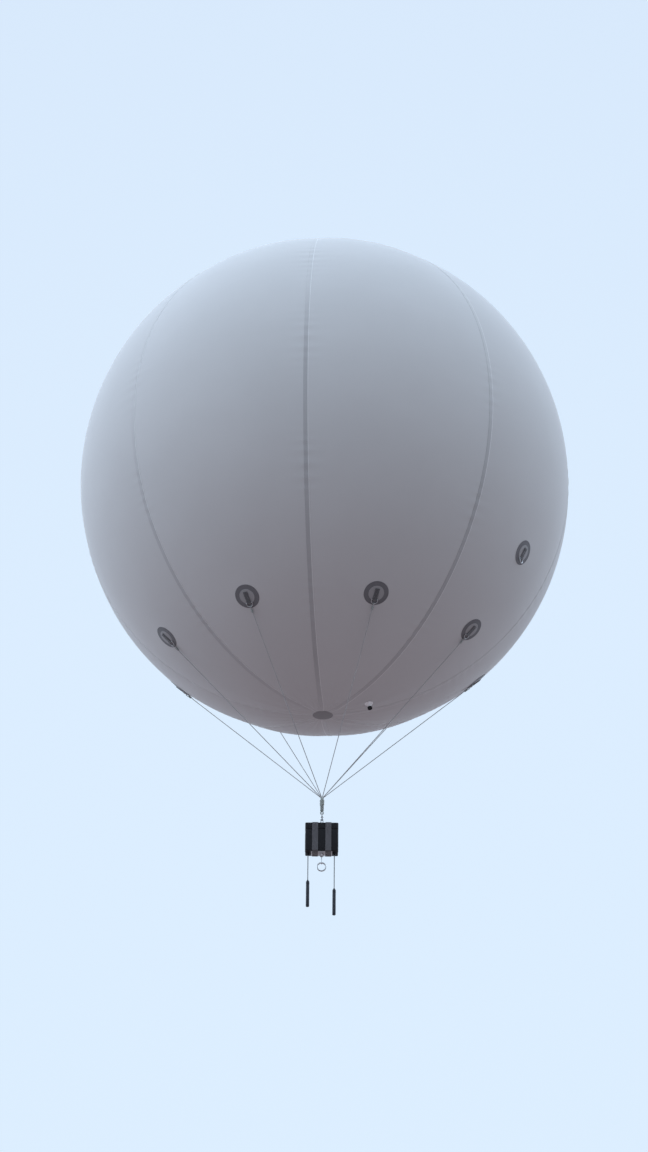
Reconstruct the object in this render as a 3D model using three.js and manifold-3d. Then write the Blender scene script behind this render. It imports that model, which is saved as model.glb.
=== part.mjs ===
// Spherical helium balloon for outdoor advertising, with its rigging: eight welded
// gores, a bridle of eight lines, a swivel, a strapped equipment case with two
// hanging antennas, and the ring that the tether is tied to.
// Millimetres, +Z up. The origin is the centre of the envelope. Azimuths are degrees
// from the front (-Y) toward +X. Latitudes are degrees above the equator of a round
// ball, which is then drawn out along Z.
import * as THREE from 'three';
import { mergeVertices } from 'three/addons/utils/BufferGeometryUtils.js';
import Module from 'manifold-3d';

// Driving dimensions. The gas pushes up at the top while the load pulls at the
// bottom, so the envelope is a little taller than it is wide.
const ENVELOPE_R = 1623;
const STRETCH = 1.027;
const WALL = 10;
const CLEAR = 0.3;
const GORES = 8;
const COLUMNS_PER_GORE = 6;
const FIRST_PATCH_AZIMUTH = 18;
const BRIDLE_LATITUDE = -49.4;
const GUY_LATITUDE = -28.6;
const GUY_AZIMUTHS = [63, 153, 243];
const POLE_HOLE_LATITUDE = 88.2;
const JUNCTION_Z = -2241;
const LINE_R = 2.5;

// Latitude stations of the gores: from, to, rows between them
const LATITUDE_RUNS = [
  { from: -POLE_HOLE_LATITUDE, to: BRIDLE_LATITUDE, rows: 5 },
  { from: BRIDLE_LATITUDE, to: GUY_LATITUDE, rows: 3 },
  { from: GUY_LATITUDE, to: POLE_HOLE_LATITUDE, rows: 13 },
];

const PATCH = { r: 80, thick: 3, innerR: 50, innerThick: 2.2 };
const TAB = { width: 30, above: 34, below: 40, low: 2.5, thick: 4 };
const RING_LOOP = { down: 42, high: 8, size: 11.5, boreR: 4.2 };
const D_RING = { bar: 5, halfWidth: 23, side: 8 };
const TIE_LOOP = { r: 6.4, tubeR: 2.2 };
const POLE_CAP = { r: 66, thick: 3 };
const VALVE = { azimuth: 66, latitude: -78.5, flangeR: 28, neckR: 14, neck: 24, capR: 15, cap: 18 };

const KNOT = { lineEnd: 12, shoulderR: 16, waistR: 12.5, length: 91 };
const KNOT_LOOP = { r: 9, tubeR: 3.5 };
const EYE = { r: 9, tubeR: 3 };
const SWIVEL = { r: 11, height: 15, stemR: 4.5, stemLength: 8 };

const CASE = { width: 208, depth: 104, height: 188, lid: 42, corner: 9, lip: 1.5 };
const STRAP = { x: 42, width: 38, thick: 3, corner: 5 };
const PLATE = { width: 134, depth: 84, thick: 4 };
const TETHER_EYE = { r: 11, tubeR: 3 };
const TETHER_LINK = { length: 60, width: 26, bar: 5, bevel: 1.3 };
const TETHER_RING = { r: 27, bar: 9, bevel: 2.6, segments: 26 };

const GLAND = { r: 9, height: 13 };
const LEAD_R = 3;
const ANTENNA = { r: 11, length: 180, shoulder: 9 };
// Each antenna: its name, its place along X and the length of its lead
const ANTENNAS = [
  { side: 'left', x: -86, lead: 166 },
  { side: 'right', x: 81, lead: 221 },
];

const wasm = await Module();
wasm.setup();
const balloon = new THREE.Group();
const rad = THREE.MathUtils.degToRad;

// A closed three.js geometry, placed by a matrix, as a solid for joining and cutting
function solid(geometry, matrix = new THREE.Matrix4()) {
  const shell = geometry.clone().applyMatrix4(matrix);
  shell.deleteAttribute('normal');
  shell.deleteAttribute('uv');
  const merged = mergeVertices(shell, 1e-4);
  const mesh = new wasm.Mesh({
    numProp: 3,
    vertProperties: new Float32Array(merged.attributes.position.array),
    triVerts: new Uint32Array(merged.index.array),
  });
  return new wasm.Manifold(mesh);
}

function geometryOf(body) {
  const mesh = body.getMesh();
  const geometry = new THREE.BufferGeometry();
  geometry.setAttribute('position', new THREE.BufferAttribute(mesh.vertProperties, 3));
  geometry.setIndex(new THREE.BufferAttribute(mesh.triVerts, 1));
  geometry.computeVertexNormals();
  return geometry;
}

function add(name, shape, look) {
  const geometry = shape.isBufferGeometry ? shape : geometryOf(shape);
  const piece = new THREE.Mesh(geometry, new THREE.MeshStandardMaterial(look));
  piece.name = name;
  balloon.add(piece);
  return piece;
}

const FILM = { color: 0x9aa0ab, roughness: 0.38, metalness: 0 };
const PATCH_FILM = { color: 0x8b8f98, roughness: 0.45, metalness: 0 };
const STEEL = { color: 0xb9bdc0, roughness: 0.3, metalness: 1 };
const ROPE = { color: 0xb7bfc0, roughness: 0.85, metalness: 0 };
const WHITE_PLASTIC = { color: 0xe4e6e6, roughness: 0.5, metalness: 0 };
const BLACK_PLASTIC = { color: 0x15161a, roughness: 0.55, metalness: 0 };
const WEBBING = { color: 0x5b5e63, roughness: 0.9, metalness: 0 };
const RUBBER = { color: 0x1b1c1f, roughness: 0.8, metalness: 0 };

// Direction from the centre of the round ball, drawn out along Z by the given amount
function outward(azimuth, latitude, stretch) {
  const across = Math.cos(rad(latitude));
  return new THREE.Vector3(
    across * Math.sin(rad(azimuth)),
    -across * Math.cos(rad(azimuth)),
    stretch * Math.sin(rad(latitude)),
  );
}

// Frames. A site on the envelope has its point, its outward normal, the way down the
// meridian and the way across it.
function site(azimuth, latitude) {
  const point = outward(azimuth, latitude, STRETCH).multiplyScalar(ENVELOPE_R);
  const normal = outward(azimuth, latitude, 1 / STRETCH).normalize();
  const down = outward(azimuth, latitude - 90, STRETCH).normalize();
  const across = new THREE.Vector3().crossVectors(down, normal);
  return { point, normal, down, across };
}

// A matrix whose X, Y and Z columns are the given directions, at the given point
function placed(x, y, z, point) {
  return new THREE.Matrix4().makeBasis(x, y, z).setPosition(point);
}

function along({ point, normal, down }, n, d) {
  return point.clone().addScaledVector(normal, n).addScaledVector(down, d);
}

// Faceted envelope. Every surface on it is a lathe on the same stations, so that
// patches and caps lie face to face with the gores.
function stations() {
  const list = [LATITUDE_RUNS[0].from];
  for (const { from, to, rows } of LATITUDE_RUNS) {
    for (let row = 1; row <= rows; row += 1) {
      list.push(from + ((to - from) * row) / rows);
    }
  }
  return list;
}

const SEGMENTS = GORES * COLUMNS_PER_GORE;
const SEAM_AZIMUTH = FIRST_PATCH_AZIMUTH - 180 / GORES;

// LatheGeometry turns about Y, so its profile is (radius, height) and the result is
// stood up on Z, with one of its edges on the first seam.
function turned(profile, segments, azimuth = SEAM_AZIMUTH) {
  const points = profile.map(([r, z]) => new THREE.Vector2(Math.max(r, 0), z));
  const lathe = new THREE.LatheGeometry(points, segments);
  lathe.rotateX(Math.PI / 2);
  lathe.rotateZ(rad(azimuth));
  return lathe;
}

function arcProfile(r) {
  return stations().map((latitude) => [
    r * Math.cos(rad(latitude)),
    STRETCH * r * Math.sin(rad(latitude)),
  ]);
}

function envelopeShell() {
  const outer = arcProfile(ENVELOPE_R);
  const inner = arcProfile(ENVELOPE_R - WALL).reverse();
  return solid(turned([...outer, ...inner, outer[0]], SEGMENTS));
}

function facetedBall(r) {
  const arc = arcProfile(r);
  return solid(turned([[0, arc[0][1]], ...arc, [0, arc.at(-1)[1]]], SEGMENTS));
}

// Gore: the part of the shell between two upright planes, half a clearance in
// from the seams on either side
function wedge(azimuth) {
  const reach = 2 * ENVELOPE_R;
  const half = Math.PI / GORES;
  const inset = CLEAR / 2 / Math.sin(half);
  const sector = new THREE.Shape([
    new THREE.Vector2(0, -inset),
    new THREE.Vector2(reach * Math.sin(half), -inset - reach * Math.cos(half)),
    new THREE.Vector2(-reach * Math.sin(half), -inset - reach * Math.cos(half)),
  ]);
  const prism = new THREE.ExtrudeGeometry(sector, { depth: 2 * reach, bevelEnabled: false });
  prism.translate(0, 0, -reach);
  prism.rotateZ(rad(azimuth));
  return solid(prism);
}

const shell = envelopeShell();
for (let gore = 0; gore < GORES; gore += 1) {
  const azimuth = FIRST_PATCH_AZIMUTH + (gore * 360) / GORES;
  add(`gore_${gore + 1}`, shell.intersect(wedge(azimuth)), FILM);
}

// Pole caps: discs over the gores' tips
function poleCap(sign) {
  const [[holeR, holeZ], [nextR, nextZ]] = arcProfile(ENVELOPE_R).slice(0, 2).map(([r, z]) => [r, -z]);
  const slope = (holeZ - nextZ) / (nextR - holeR);
  const rimZ = holeZ - slope * (POLE_CAP.r - holeR);
  const low = CLEAR;
  const high = CLEAR + POLE_CAP.thick;
  const profile = [
    [0, holeZ + low],
    [holeR, holeZ + low],
    [POLE_CAP.r, rimZ + low],
    [POLE_CAP.r, rimZ + high],
    [holeR, holeZ + high],
    [0, holeZ + high],
  ];
  return turned(sign > 0 ? profile : profile.map(([r, z]) => [r, -z]).reverse(), SEGMENTS);
}

add('top_cap', poleCap(1), FILM);
add('bottom_cap', poleCap(-1), PATCH_FILM);

// Attachment patches: two bonded discs, a webbing tab and the fold that the ring's
// bar runs in
const seat = facetedBall(ENVELOPE_R + CLEAR);
const patchLayer = facetedBall(ENVELOPE_R + CLEAR + PATCH.thick);
const innerLayer = facetedBall(ENVELOPE_R + CLEAR + PATCH.thick + PATCH.innerThick);

function disc(place, r, from, to, sides) {
  const cylinder = new THREE.CylinderGeometry(r, r, to - from, sides);
  const middle = along(place, (from + to) / 2, 0);
  return solid(cylinder, placed(place.across, place.normal, place.down.clone().negate(), middle));
}

function block(place, width, thick, length, n, d) {
  const box = new THREE.BoxGeometry(width, length, thick);
  return solid(box, placed(place.across, place.down, place.normal, along(place, n, d)));
}

function patch(place) {
  const outer = disc(place, PATCH.r, -25, 25, 18).intersect(patchLayer);
  const inner = disc(place, PATCH.innerR, -25, 25, 12).intersect(innerLayer);
  const tabLength = TAB.above + TAB.below;
  const tab = block(place, TAB.width, TAB.thick, tabLength, TAB.low + TAB.thick / 2,
    (TAB.below - TAB.above) / 2);
  const fold = block(place, TAB.width, RING_LOOP.size, RING_LOOP.size, RING_LOOP.high, RING_LOOP.down);
  const bore = new THREE.CylinderGeometry(RING_LOOP.boreR, RING_LOOP.boreR, 2 * TAB.width, 8);
  const boreAt = along(place, RING_LOOP.high, RING_LOOP.down);
  const hole = solid(bore, placed(place.normal, place.across, place.down, boreAt));
  return outer.add(inner).add(tab).add(fold).subtract(hole).subtract(seat);
}

// D-ring: a bar across the top and a round bow that hangs along `pull`
const D_DEPTH = D_RING.side + D_RING.halfWidth;

function dOutline(halfWidth, top, segments) {
  const outline = [new THREE.Vector2(-halfWidth, top), new THREE.Vector2(-halfWidth, -D_RING.side)];
  for (let step = 1; step < segments; step += 1) {
    const angle = Math.PI + (Math.PI * step) / segments;
    outline.push(new THREE.Vector2(halfWidth * Math.cos(angle), -D_RING.side + halfWidth * Math.sin(angle)));
  }
  outline.push(new THREE.Vector2(halfWidth, -D_RING.side), new THREE.Vector2(halfWidth, top));
  return outline;
}

function dRing(place, pull) {
  const { bar, halfWidth } = D_RING;
  const shape = new THREE.Shape(dOutline(halfWidth, bar / 2, 11));
  shape.holes.push(new THREE.Path(dOutline(halfWidth - bar, -bar / 2, 11)));
  const ring = new THREE.ExtrudeGeometry(shape, { depth: bar, bevelEnabled: false });
  ring.translate(0, 0, -bar / 2);
  const up = pull.clone().negate();
  const face = new THREE.Vector3().crossVectors(place.across, up).normalize();
  return solid(ring, placed(place.across, up, face, along(place, RING_LOOP.high, RING_LOOP.down)));
}

// Bridle line: a tie loop round the ring's bow and a straight line to the knot
const junction = new THREE.Vector3(0, 0, JUNCTION_Z);

function bridleLine(place, pull) {
  const barAt = along(place, RING_LOOP.high, RING_LOOP.down);
  const bowAt = barAt.clone().addScaledVector(pull, D_DEPTH - D_RING.bar / 2);
  const face = new THREE.Vector3().crossVectors(place.across, pull).normalize();
  const loop = new THREE.TorusGeometry(TIE_LOOP.r, TIE_LOOP.tubeR, 6, 10);
  const tie = solid(loop, placed(pull, face, place.across, bowAt));
  const start = bowAt.clone().addScaledVector(pull, TIE_LOOP.r);
  const end = junction.clone().addScaledVector(pull, -KNOT.lineEnd);
  const rope = new THREE.CylinderGeometry(LINE_R, LINE_R, start.distanceTo(end), 8);
  const middle = start.clone().add(end).multiplyScalar(0.5);
  const line = solid(rope, placed(place.across, pull, face, middle));
  return tie.add(line);
}

let bridleSlope = 0;
for (let k = 0; k < GORES; k += 1) {
  const place = site(FIRST_PATCH_AZIMUTH + (k * 360) / GORES, BRIDLE_LATITUDE);
  const barAt = along(place, RING_LOOP.high, RING_LOOP.down);
  const pull = junction.clone().sub(barAt).normalize();
  bridleSlope = Math.asin(-pull.z);
  add(`bridle_patch_${k + 1}`, patch(place), PATCH_FILM);
  add(`bridle_ring_${k + 1}`, dRing(place, pull), STEEL);
  add(`bridle_line_${k + 1}`, bridleLine(place, pull), ROPE);
}

// Guy attachments: the same patch and ring, the ring hanging straight down
GUY_AZIMUTHS.forEach((azimuth, k) => {
  const place = site(azimuth, GUY_LATITUDE);
  add(`guy_patch_${k + 1}`, patch(place), PATCH_FILM);
  add(`guy_ring_${k + 1}`, dRing(place, new THREE.Vector3(0, 0, -1)), STEEL);
});

// Fill valve: a flange bonded to the film with a neck, and a cap on the neck's end
const valvePlace = site(VALVE.azimuth, VALVE.latitude);
const flange = disc(valvePlace, VALVE.flangeR, -25, 25, 20).intersect(patchLayer);
const neck = disc(valvePlace, VALVE.neckR, -20, VALVE.neck, 16);
const capFoot = VALVE.neck + CLEAR;
add('fill_valve', flange.add(neck).subtract(seat), WHITE_PLASTIC);
add('valve_cap', disc(valvePlace, VALVE.capR, capFoot, capFoot + VALVE.cap, 20), BLACK_PLASTIC);

// Chain of eyes below the junction. Neighbouring eyes lie in crossed planes and
// each hangs on the one above it.
function eye(dims, z, crosswise) {
  const torus = new THREE.TorusGeometry(dims.r, dims.tubeR, 8, 12);
  torus.rotateX(Math.PI / 2);
  if (crosswise) {
    torus.rotateZ(Math.PI / 2);
  }
  return solid(torus, new THREE.Matrix4().makeTranslation(0, 0, z));
}

// Height of an eye that hangs in the one above it
function hangingZ(upper, upperZ, lower) {
  return upperZ - (upper.r - upper.tubeR) + CLEAR - (lower.r - lower.tubeR);
}

const knotBottomZ = JUNCTION_Z - KNOT.length;
const knotLoopZ = knotBottomZ - KNOT_LOOP.r + 1;
const swivelEyeZ = hangingZ(KNOT_LOOP, knotLoopZ, EYE);
const swivelTopZ = swivelEyeZ - EYE.r;
const swivelSplitZ = swivelTopZ - SWIVEL.height;
const swivelBottomZ = swivelSplitZ - CLEAR - SWIVEL.height;
const lowerEyeZ = swivelBottomZ - EYE.r;
const hangerEyeZ = hangingZ(EYE, lowerEyeZ, EYE);
const plateTopZ = hangerEyeZ - EYE.r - 1;
const caseTopZ = plateTopZ - PLATE.thick - CLEAR;
const caseBottomZ = caseTopZ - CASE.height;

// Knot: the eight lines gathered under a cone whose flats face them, whipped, and
// turned into a loop
function knot() {
  const faceAway = KNOT.lineEnd - CLEAR;
  const cone = faceAway / Math.cos(bridleSlope);
  const flats = Math.cos(Math.PI / GORES);
  const profile = [
    [0, knotBottomZ],
    [KNOT.waistR - 3, knotBottomZ],
    [KNOT.waistR, knotBottomZ + 6],
    [KNOT.waistR, JUNCTION_Z - 34],
    [KNOT.shoulderR, JUNCTION_Z - 12],
    [cone, JUNCTION_Z],
    [0, JUNCTION_Z + faceAway / Math.sin(bridleSlope)],
  ].map(([r, z]) => [r / flats, z]);
  return solid(turned(profile, GORES)).add(eye(KNOT_LOOP, knotLoopZ, false));
}

add('bridle_knot', knot(), ROPE);

// Swivel: the upper eye's barrel carries the lower one on a headed stem
function swivelTop() {
  const bore = SWIVEL.stemR + CLEAR;
  const profile = [
    [bore, swivelSplitZ],
    [SWIVEL.r, swivelSplitZ],
    [SWIVEL.r, swivelTopZ - 3],
    [SWIVEL.r - 4, swivelTopZ],
    [0, swivelTopZ],
    [0, swivelSplitZ + SWIVEL.stemLength + CLEAR],
    [bore, swivelSplitZ + SWIVEL.stemLength + CLEAR],
    [bore, swivelSplitZ],
  ];
  return solid(turned(profile, 12)).add(eye(EYE, swivelEyeZ, true));
}

function swivelBottom() {
  const top = swivelSplitZ - CLEAR;
  const profile = [
    [0, swivelBottomZ],
    [SWIVEL.r - 4, swivelBottomZ],
    [SWIVEL.r, swivelBottomZ + 3],
    [SWIVEL.r, top],
    [SWIVEL.stemR, top],
    [SWIVEL.stemR, top + SWIVEL.stemLength],
    [0, top + SWIVEL.stemLength],
  ];
  return solid(turned(profile, 12)).add(eye(EYE, lowerEyeZ, false));
}

add('swivel_top', swivelTop(), STEEL);
add('swivel_bottom', swivelBottom(), STEEL);

// Equipment case: a body and a lid, held in two webbing straps
function roundedBox(width, depth, height, corner, z) {
  const w = width / 2;
  const d = depth / 2;
  const shape = new THREE.Shape();
  shape.moveTo(-w + corner, -d);
  shape.lineTo(w - corner, -d);
  shape.absarc(w - corner, -d + corner, corner, -Math.PI / 2, 0);
  shape.lineTo(w, d - corner);
  shape.absarc(w - corner, d - corner, corner, 0, Math.PI / 2);
  shape.lineTo(-w + corner, d);
  shape.absarc(-w + corner, d - corner, corner, Math.PI / 2, Math.PI);
  shape.lineTo(-w, -d + corner);
  shape.absarc(-w + corner, -d + corner, corner, Math.PI, 1.5 * Math.PI);
  const box = new THREE.ExtrudeGeometry(shape, { depth: height, bevelEnabled: false, curveSegments: 3 });
  box.translate(0, 0, z);
  return box;
}

const bodyHeight = CASE.height - CASE.lid - CLEAR;
const lidWidth = CASE.width + 2 * CASE.lip;
const lidDepth = CASE.depth + 2 * CASE.lip;
const caseBody = roundedBox(CASE.width, CASE.depth, bodyHeight, CASE.corner, caseBottomZ);
const caseLid = roundedBox(lidWidth, lidDepth, CASE.lid, CASE.corner + CASE.lip, caseTopZ - CASE.lid);
add('case_body', solid(caseBody), BLACK_PLASTIC);
add('case_lid', solid(caseLid), BLACK_PLASTIC);

// Straps: closed loops round the case, over the two plates
const strapHalfDepth = lidDepth / 2 + CLEAR;
const strapTopZ = plateTopZ + CLEAR;
const strapBottomZ = caseBottomZ - PLATE.thick - 2 * CLEAR;

function strapRing(halfDepth, low, high, corner) {
  const ring = new THREE.Path();
  ring.moveTo(-halfDepth + corner, low);
  ring.lineTo(halfDepth - corner, low);
  ring.absarc(halfDepth - corner, low + corner, corner, -Math.PI / 2, 0);
  ring.lineTo(halfDepth, high - corner);
  ring.absarc(halfDepth - corner, high - corner, corner, 0, Math.PI / 2);
  ring.lineTo(-halfDepth + corner, high);
  ring.absarc(-halfDepth + corner, high - corner, corner, Math.PI / 2, Math.PI);
  ring.lineTo(-halfDepth, low + corner);
  ring.absarc(-halfDepth + corner, low + corner, corner, Math.PI, 1.5 * Math.PI);
  return ring.getPoints(3);
}

function strap(x) {
  const { thick, corner, width } = STRAP;
  const outer = strapRing(strapHalfDepth + thick, strapBottomZ - thick, strapTopZ + thick, corner);
  const inner = strapRing(strapHalfDepth, strapBottomZ, strapTopZ, corner - thick);
  const shape = new THREE.Shape(outer);
  shape.holes.push(new THREE.Path(inner));
  const loop = new THREE.ExtrudeGeometry(shape, { depth: width, bevelEnabled: false });
  const yAxis = new THREE.Vector3(0, 1, 0);
  const zAxis = new THREE.Vector3(0, 0, 1);
  const xAxis = new THREE.Vector3(1, 0, 0);
  return solid(loop, placed(yAxis, zAxis, xAxis, new THREE.Vector3(x - width / 2, 0, 0)));
}

add('case_strap_left', strap(-STRAP.x), WEBBING);
add('case_strap_right', strap(STRAP.x), WEBBING);

// Plates: clamped under the straps above and below the case, each with an eye
function plate(z) {
  return solid(roundedBox(PLATE.width, PLATE.depth, PLATE.thick, 6, z));
}

const tetherPlateZ = caseBottomZ - CLEAR - PLATE.thick;
const tetherEyeZ = tetherPlateZ - TETHER_EYE.r + 1;
add('hanger_plate', plate(plateTopZ - PLATE.thick).add(eye(EYE, hangerEyeZ, true)), STEEL);
add('tether_plate', plate(tetherPlateZ).add(eye(TETHER_EYE, tetherEyeZ, false)), STEEL);

// Tether link: a flat oval link, hanging edge-on in the plate's eye
function stadium(halfWidth, halfLength, segments) {
  const straight = halfLength - halfWidth;
  const outline = [];
  for (const [end, first] of [[1, 0], [-1, Math.PI]]) {
    for (let step = 0; step <= segments; step += 1) {
      const angle = first + (Math.PI * step) / segments;
      outline.push(new THREE.Vector2(halfWidth * Math.cos(angle), end * straight + halfWidth * Math.sin(angle)));
    }
  }
  return outline;
}

const linkSideGap = 0.75;
const linkTopZ = tetherEyeZ - (TETHER_EYE.r - TETHER_EYE.tubeR) + linkSideGap + TETHER_LINK.bar;
const linkZ = linkTopZ - TETHER_LINK.length / 2;

function tetherLink() {
  const { length, width, bar, bevel } = TETHER_LINK;
  const inset = bar - bevel;
  const shape = new THREE.Shape(stadium(width / 2 - bevel, length / 2 - bevel, 8));
  shape.holes.push(new THREE.Path(stadium(width / 2 - inset, length / 2 - inset, 8)));
  const link = new THREE.ExtrudeGeometry(shape, {
    depth: bar - 2 * bevel,
    bevelThickness: bevel,
    bevelSize: bevel,
    bevelSegments: 1,
  });
  link.translate(0, 0, -bar / 2 + bevel);
  const yAxis = new THREE.Vector3(0, 1, 0);
  const zAxis = new THREE.Vector3(0, 0, 1);
  const xAxis = new THREE.Vector3(1, 0, 0);
  return solid(link, placed(yAxis, zAxis, xAxis, new THREE.Vector3(0, 0, linkZ)));
}

add('tether_link', tetherLink(), STEEL);

// Tether ring: a bevelled flat ring, facing front, hung in the link
const ringSideGap = 0.75;
const linkSeatZ = linkTopZ - TETHER_LINK.length + TETHER_LINK.bar;
const ringZ = linkSeatZ + ringSideGap - (TETHER_RING.r - TETHER_RING.bar / 2);

function circleOutline(r, segments) {
  const outline = [];
  for (let step = 0; step < segments; step += 1) {
    const angle = (2 * Math.PI * (step + 0.5)) / segments - Math.PI / 2;
    outline.push(new THREE.Vector2(r * Math.cos(angle), r * Math.sin(angle)));
  }
  return outline;
}

function tetherRing() {
  const { r, bar, bevel, segments } = TETHER_RING;
  const shape = new THREE.Shape(circleOutline(r + bar / 2 - bevel, segments));
  shape.holes.push(new THREE.Path(circleOutline(r - bar / 2 + bevel, segments)));
  const ring = new THREE.ExtrudeGeometry(shape, {
    depth: bar - 2 * bevel,
    bevelThickness: bevel,
    bevelSize: bevel,
    bevelSegments: 1,
  });
  ring.translate(0, 0, -bar / 2 + bevel);
  ring.rotateX(Math.PI / 2);
  return solid(ring, new THREE.Matrix4().makeTranslation(0, 0, ringZ));
}

add('tether_ring', tetherRing(), STEEL);

// Antennas: a gland under the case, a lead that swings in its mouth, and a rod
for (const { side, x, lead } of ANTENNAS) {
  const mouthZ = caseBottomZ - CLEAR - GLAND.height;
  const gland = [
    [0, mouthZ],
    [GLAND.r - 2, mouthZ],
    [GLAND.r, mouthZ + 2],
    [GLAND.r, caseBottomZ - CLEAR],
    [0, caseBottomZ - CLEAR],
  ];
  const pivotZ = mouthZ - CLEAR - LEAD_R;
  const rodTopZ = pivotZ - lead;
  const rope = [
    [0, rodTopZ + CLEAR],
    [LEAD_R, rodTopZ + CLEAR],
    [LEAD_R, pivotZ],
    [LEAD_R * Math.cos(rad(45)), pivotZ + LEAD_R * Math.sin(rad(45))],
    [0, pivotZ + LEAD_R],
  ];
  const rod = [
    [0, rodTopZ - ANTENNA.length],
    [ANTENNA.r - 3, rodTopZ - ANTENNA.length],
    [ANTENNA.r, rodTopZ - ANTENNA.length + 3],
    [ANTENNA.r, rodTopZ - ANTENNA.shoulder],
    [ANTENNA.r - 5, rodTopZ],
    [0, rodTopZ],
  ];
  add(`antenna_gland_${side}`, turned(gland, 12, 0), RUBBER).position.x = x;
  add(`antenna_lead_${side}`, turned(rope, 8, 0), ROPE).position.x = x;
  add(`antenna_${side}`, turned(rod, 12, 0), BLACK_PLASTIC).position.x = x;
}

export default balloon;
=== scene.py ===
# Looks of a spherical advertising balloon and its rigging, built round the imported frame.
# Metres, +Z up, the origin at the centre of the envelope, the front toward -Y.
import math

import bpy
import numpy as np
from mathutils import Matrix, Vector


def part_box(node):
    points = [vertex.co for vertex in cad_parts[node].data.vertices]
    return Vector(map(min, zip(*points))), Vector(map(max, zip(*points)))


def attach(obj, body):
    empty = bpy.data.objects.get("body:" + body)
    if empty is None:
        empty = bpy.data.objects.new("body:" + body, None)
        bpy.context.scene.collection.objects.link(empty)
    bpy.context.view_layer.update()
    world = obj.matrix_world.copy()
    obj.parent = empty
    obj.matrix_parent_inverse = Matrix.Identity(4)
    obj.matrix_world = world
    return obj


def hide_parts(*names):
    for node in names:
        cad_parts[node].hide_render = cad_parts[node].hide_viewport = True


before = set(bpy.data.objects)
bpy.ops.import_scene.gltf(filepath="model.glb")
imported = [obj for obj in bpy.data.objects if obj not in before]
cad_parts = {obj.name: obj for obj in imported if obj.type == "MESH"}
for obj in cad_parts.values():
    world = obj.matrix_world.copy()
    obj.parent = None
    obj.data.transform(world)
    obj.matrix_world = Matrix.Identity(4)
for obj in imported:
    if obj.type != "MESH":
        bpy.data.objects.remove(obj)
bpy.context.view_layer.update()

# Camera
# The photograph looks up from the ground, 20.7 m from the point under the balloon, with
# the lens 1.6 m up. The camera stands there, and a long lens fills the frame with the balloon.
CAMERA_AWAY = 20.712
CAMERA_BELOW = 10.79
CAMERA_ROLL = math.radians(0.5)
AIM = Vector((0.0, 0.0, -0.66))
PHOTO_FOCAL_PX = 844.9
PHOTO_LONG_SIDE_PX = 1152
ENLARGED = 4.15

camera_data = bpy.data.cameras.new("camera")
camera_data.sensor_width = 36
camera_data.lens = ENLARGED * camera_data.sensor_width * PHOTO_FOCAL_PX / PHOTO_LONG_SIDE_PX
camera_data.clip_end = 400
camera = bpy.data.objects.new("camera", camera_data)
camera.location = (0, -CAMERA_AWAY, -CAMERA_BELOW)
sight = (AIM - camera.location).to_track_quat("-Z", "Y")
camera.rotation_euler = (sight.to_matrix() @ Matrix.Rotation(CAMERA_ROLL, 3, "Z")).to_euler()
bpy.context.scene.collection.objects.link(camera)
bpy.context.scene.camera = camera

# Envelope
# Eight gores of coated film, welded at their edges and blown up tight, a little taller than
# wide under load. The film is drawn in at every weld, puckers along it, and lifts at a patch.
RADIUS = 1.623
DRAWN_OUT = np.array([1.0, 1.0, 1.027])
GORES = 8
HALF_GORE = math.pi / GORES
FIRST_PATCH = math.radians(18)
POLE_HOLE = math.radians(88.2)
BRIDLE_LATITUDE = math.radians(-49.4)
GUY_LATITUDE = math.radians(-28.6)
GUY_AZIMUTHS = [math.radians(a) for a in (63, 153, 243)]
PATCH_PLACES = [(FIRST_PATCH + 2 * HALF_GORE * k, BRIDLE_LATITUDE) for k in range(GORES)]
PATCH_PLACES += [(azimuth, GUY_LATITUDE) for azimuth in GUY_AZIMUTHS]
FILM_DEPTH = 0.006
ROW_STEP = 0.015
# Angles from the weld, in degrees, where the film's mesh has a column
COLUMNS_FROM_WELD = (0.006, 0.2, 0.46, 0.8, 1.3, 2.1, 3.2, 4.5, 5.9, 7.3, 8.7, 10.1, 11.5, 12.9,
                     14.3, 15.7, 17.1, 18.5, 19.9, 21.2, 22.5)
# The film has its full roundness at this share of the way from a weld to the gore's middle
ROUND_FROM = 0.75
DRAWN_IN = 0.0065
CALM_AT_POLE = 0.09
CALM_FADE = 0.3
PUCKER = 0.0016
PUCKER_LENGTH = 0.071
PUCKER_DRIFT = 1.3
DRIFT_LENGTH = 0.43
PUCKER_SWELL = 0.45
SWELL_LENGTH = 0.83
PUCKER_REACH = 0.055
TENT = 0.0035
TENT_REACH = 0.11
GATHERS = 32
GATHER_DEPTH = 0.0034
GATHER_START = 0.078
GATHER_RISE = 0.07
GATHER_REACH = 0.2


def outward(azimuth, latitude):
    """The direction from the centre of a round ball, which DRAWN_OUT then makes taller."""
    across = np.cos(latitude)
    return np.stack([across * np.sin(azimuth), -across * np.cos(azimuth),
                     np.sin(latitude) * np.ones_like(across * azimuth)], axis=-1)


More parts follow.
